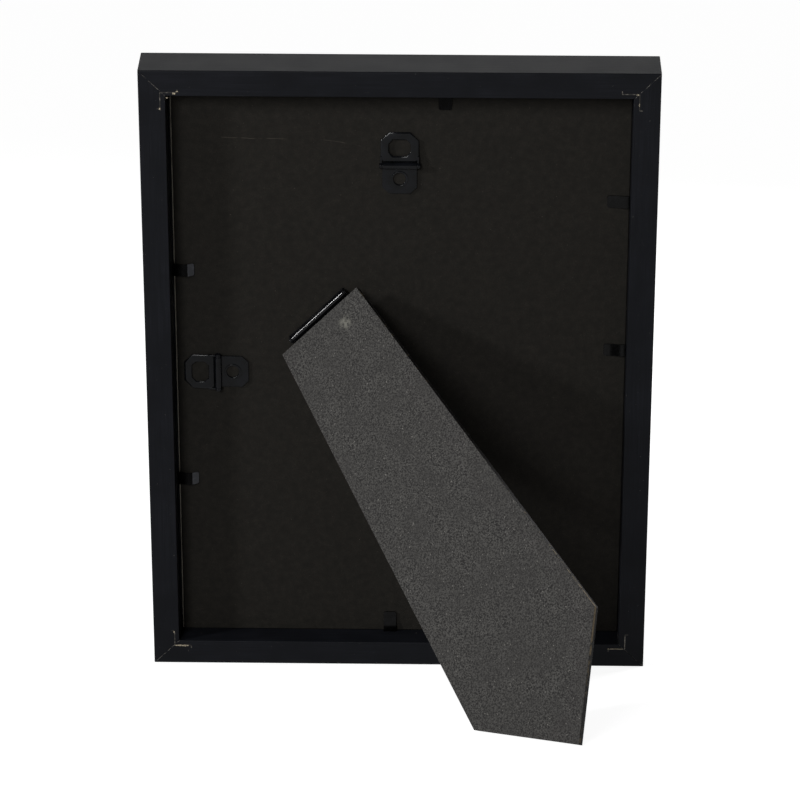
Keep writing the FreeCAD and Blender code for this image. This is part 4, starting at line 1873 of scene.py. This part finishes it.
@dataclass
class EaselLeg:
    """Leg cut from paper-faced fibreboard, with a foot edge for each way up.

    Attributes:
        axes: Axes of the frame.
        hinge: The hinge that carries it.
        moulding: The rails, whose side face is the foot of the frame the long way across.
    """

    axes: FrameAxes
    hinge: StrutHinge
    moulding: Moulding
    thickness: float = 2.8
    facing: float = 0.2
    top_width: float = 42.2
    top_place: float = 3.1
    taper: float = 4.25
    landscape_lean: float = 11.5
    core_round: float = 0.12
    inner_round: float = 0.05
    outer_round: float = 0.06
    bump_radius: float = 3.4
    bump_height: float = 0.3
    bump_steps: int = 7
    blank_length: float = 400.0

    def inner(self) -> float:
        """Gives the height of the leg's inner face over the pin."""
        return self.hinge.leg_gauge - self.hinge.knuckle_radius()

    def floors(self) -> list[tuple[Vector, Vector]]:
        """Gives the floor for each way up.

        Returns:
            The normal and one point of each, in metres.
        """
        a, m = self.axes, self.moulding
        lean = math.radians(self.landscape_lean)
        normal = a.across * math.cos(lean) - a.out * math.sin(lean)
        centre = a.point(m.back_radius - m.width / 2, -m.back_radius, 0)
        return [(Vector((0, 0, 1)), Vector()), (normal, centre - normal * m.back_radius * MM)]

    def cuts(self) -> list[tuple[Vector, Vector]]:
        """Gives the five straight cuts of the leg.

        Returns:
            A point of each and the direction of the waste, in leg axes.
        """
        slope = math.radians(self.taper)
        found = [(Vector((0, self.top_place, 0)) * MM, Vector((0, -1, 0)))]
        for side in (1, -1):
            corner = Vector((side * self.top_width / 2, self.top_place, 0)) * MM
            found.append((corner, Vector((side * math.cos(slope), -math.sin(slope), 0))))
        to_leg = self.hinge.leg_matrix().inverted()
        for normal, point in self.floors():
            across = to_leg.to_3x3() @ normal
            flat = Vector((across.x, across.y, 0))
            distance = across.dot(to_leg @ point) - across.z * self.inner() * MM
            found.append((flat * distance / flat.length_squared, -flat))
        return found

    def sheet(self, name: str, low: float, high: float) -> Piece:
        """Cuts one layer of the leg and gives it its thickness.

        Args:
            name: Name of the layer.
            low: Height of its lower face over the pin.
            high: Height of its upper face.

        Returns:
            The layer, in leg axes.
        """
        bpy.ops.object.select_all(action="DESELECT")
        length = self.blank_length * MM
        bpy.ops.mesh.primitive_plane_add(size=length, location=(0, length / 2, 0))
        piece = settle_new(name)
        with editing(piece):
            for point, waste in self.cuts():
                bpy.ops.mesh.select_all(action="SELECT")
                bpy.ops.mesh.bisect(plane_co=point, plane_no=waste, threshold=TINY, clear_outer=True)
            bpy.ops.mesh.select_all(action="SELECT")
            bpy.ops.transform.translate(value=(0, 0, low * MM))
            bpy.ops.mesh.extrude_region_move(TRANSFORM_OT_translate={"value": (0, 0, (high - low) * MM)})
            bpy.ops.mesh.select_all(action="SELECT")
            bpy.ops.mesh.normals_make_consistent(inside=False)
        return piece

    def bump(self, place: Place) -> Piece:
        """Models the low dome that a rivet's tail pushes up in the facing.

        Args:
            place: Middle of the dome on the facing, in millimetres.

        Returns:
            The dome.
        """
        bpy.ops.object.select_all(action="DESELECT")
        bpy.ops.mesh.primitive_circle_add(
            vertices=48, radius=self.bump_radius * MM, fill_type="NGON", location=Vector(place) * MM
        )
        piece = settle_new("bump")
        steps = self.bump_steps
        rises = [math.cos(math.pi / 2 * (1 - k / steps)) ** 2 * self.bump_height for k in range(steps)]
        with editing(piece):
            choose(piece, Element.FACE, lambda face: True)
            for low, high in zip(rises, rises[1:]):
                bpy.ops.mesh.inset(thickness=self.bump_radius / steps * MM, depth=(high - low) * MM)
        select_only(piece)
        bpy.ops.object.shade_smooth()
        return piece

    def build(self) -> None:
        """Builds the core and the two facings."""
        matrix = self.hinge.leg_matrix()
        low, high = self.inner(), self.inner() + self.thickness
        core = self.sheet("sawn_leg_core", low + self.facing, high - self.facing)
        soften(core, self.core_round)
        lay(core, matrix)
        normal = matrix.to_3x3() @ Vector((0, 0, 1))
        places = [vert.co for vert in core.data.vertices]
        corner = min(places, key=lambda place: place.dot(self.axes.across))
        level = max(place.dot(normal) for place in places)
        sawn = SawnFibreboard("fibreboard_sawn_edge", tuple(normal), tuple(corner), level)
        hand_over(core, (sawn,), "leg", "raw_fibreboard", "leg_core")

        inner = self.sheet("inner_leg_facing", low, low + self.facing)
        soften(inner, self.inner_round, 1)
        paper = SpeckledFacing("recycled_paper_facing_inner")
        hand_over(lay(inner, matrix), (paper,), "leg", "grey_facing_paper", "leg_inner_facing")

        outer = self.sheet("outer_leg_facing", high - self.facing, high)
        soften(outer, self.outer_round)
        x, y = self.hinge.rivet_spacing / 2, self.hinge.leg_rivet_place
        outer = lay(joined([outer, self.bump((-x, y, high)), self.bump((x, y, high))]), matrix)
        rubbed = matrix @ (Vector((-x, y, high)) * MM)
        paper = SpeckledFacing("recycled_paper_facing_outer", tuple(rubbed))
        hand_over(outer, (paper,), "leg", "grey_facing_paper", "leg_outer_facing")


@dataclass
class HardwarePlaces:
    """Places of the hangers and the hinge on the board, in upright millimetres."""

    axes: FrameAxes
    moulding: Moulding
    recess: float = 10.5
    top_drop: float = 32.3
    side_inset: float = 17.9
    side_place: float = -1.9
    hinge_x: float = 32.5
    hinge_z: float = 23.6
    hinge_angle: float = 45.0

    def top_hanger(self) -> Matrix:
        """Gives the axes of the upper hanger."""
        z = self.moulding.height - self.moulding.rail_width - self.top_drop
        return sheet_axes(self.axes.point(0, -self.recess, z), self.axes.up, self.axes.out)

    def side_hanger(self) -> Matrix:
        """Gives the axes of the side hanger.

        Returns:
            The axes.
        """
        a, m = self.axes, self.moulding
        x = m.width / 2 - m.rail_width - self.side_inset
        return sheet_axes(a.point(x, -self.recess, m.height / 2 + self.side_place), a.across, a.out)

    def hinge(self, height: float) -> Matrix:
        """Gives the axes of the strut hinge.

        Args:
            height: Height of its pin over the board.

        Returns:
            The axes.
        """
        a = self.axes
        angle = math.radians(self.hinge_angle)
        away = -a.across * math.sin(angle) - a.up * math.cos(angle)
        origin = a.point(self.hinge_x, height - self.recess, self.moulding.height / 2 + self.hinge_z)
        return sheet_axes(origin, away, a.out)


# Studio
@dataclass(frozen=True)
class Studio:
    """Camera, lamps, floor and surroundings of the photograph.

    Attributes:
        camera_place: Place of the camera in millimetres.
        camera_turn: Its turn about X, Y and Z in degrees.
        aim: The point in metres that the lamps face.
        lamps: Name, place in metres, side in metres and power in watts of each soft box.
    """

    camera_place: Place = (-22.0, 1557.48, 319.16)
    camera_turn: Place = (82.698, -0.354, -179.176)
    lens: float = 179.21
    sensor: float = 36.0
    clip_start: float = 0.05
    clip_end: float = 60.0
    floor_size: float = 24.0
    floor_drop: float = 0.2
    ambient: float = 0.07
    white: str = "#ffffff"
    aim: Place = (0.0, 0.0, 0.13)
    lamps: tuple[tuple[str, Place, float, float], ...] = (
        ("key_softbox", (0.62, 1.75, 0.62), 0.62, 25.0),
        ("side_strip", (1.15, 0.57, 0.5), 0.12, 13.0),
        ("top_softbox", (0.0, -1.25, 1.45), 1.0, 4.5),
        ("front_softbox", (-1.5, -1.6, 0.6), 0.9, 52.0),
    )

    def camera(self) -> None:
        """Adds the camera."""
        data = bpy.data.cameras.new("camera")
        data.lens = self.lens
        data.sensor_width = self.sensor
        data.clip_start, data.clip_end = self.clip_start, self.clip_end
        camera = bpy.data.objects.new("camera", data)
        camera.location = Vector(self.camera_place) * MM
        camera.rotation_euler = [math.radians(angle) for angle in self.camera_turn]
        bpy.context.scene.collection.objects.link(camera)
        bpy.context.scene.camera = camera

    def soft_boxes(self) -> None:
        """Adds the lamps as square soft boxes."""
        for name, place, size, power in self.lamps:
            data = bpy.data.lights.new(name, "AREA")
            data.size = size
            data.energy = power
            lamp = bpy.data.objects.new(name, data)
            lamp.location = place
            lamp.rotation_euler = (Vector(self.aim) - Vector(place)).to_track_quat("-Z", "Y").to_euler()
            bpy.context.scene.collection.objects.link(lamp)

    def surroundings(self) -> None:
        """Gives the object plain soft light from all round."""
        world = bpy.data.worlds.new("studio")
        world.use_nodes = True
        tree = world.node_tree
        tree.nodes.clear()
        light = add(tree, "Background", inputs={"Color": self.white, "Strength": self.ambient})
        add(tree, "OutputWorld", inputs={"Surface": light})
        bpy.context.scene.world = world

    def floor(self) -> None:
        """Adds the pale floor, which keeps a soft shadow of the object."""
        bpy.ops.object.select_all(action="DESELECT")
        bpy.ops.mesh.primitive_plane_add(size=self.floor_size, location=(0, 0, -self.floor_drop * MM))
        plane = settle_new("studio_floor")
        plane.data.materials.append(PaleFloor("matt_white_paper_sweep").material())

    def build(self) -> None:
        """Builds the studio."""
        bpy.context.scene.view_settings.view_transform = "Standard"
        self.camera()
        self.surroundings()
        self.floor()
        self.soft_boxes()


def main() -> None:
    """Builds the object and its studio."""
    logging.basicConfig(level=logging.INFO, format="%(message)s")
    axes = FrameAxes.read(frame["record"], Moulding.depth)
    moulding = Moulding(axes)
    places = HardwarePlaces(axes, moulding)
    moulding.build()
    CornerNails(axes, moulding).build()
    PictureStack(axes, moulding).build()
    BendTabs(axes, moulding).build()
    StrapHanger("top", places.top_hanger()).build()
    StrapHanger("side", places.side_hanger()).build()
    hinge = StrutHinge(Matrix())
    hinge.matrix = places.hinge(hinge.axis_height())
    hinge.build()
    EaselLeg(axes, hinge, moulding).build()
    Studio().build()


if __name__ == "__main__":
    main()
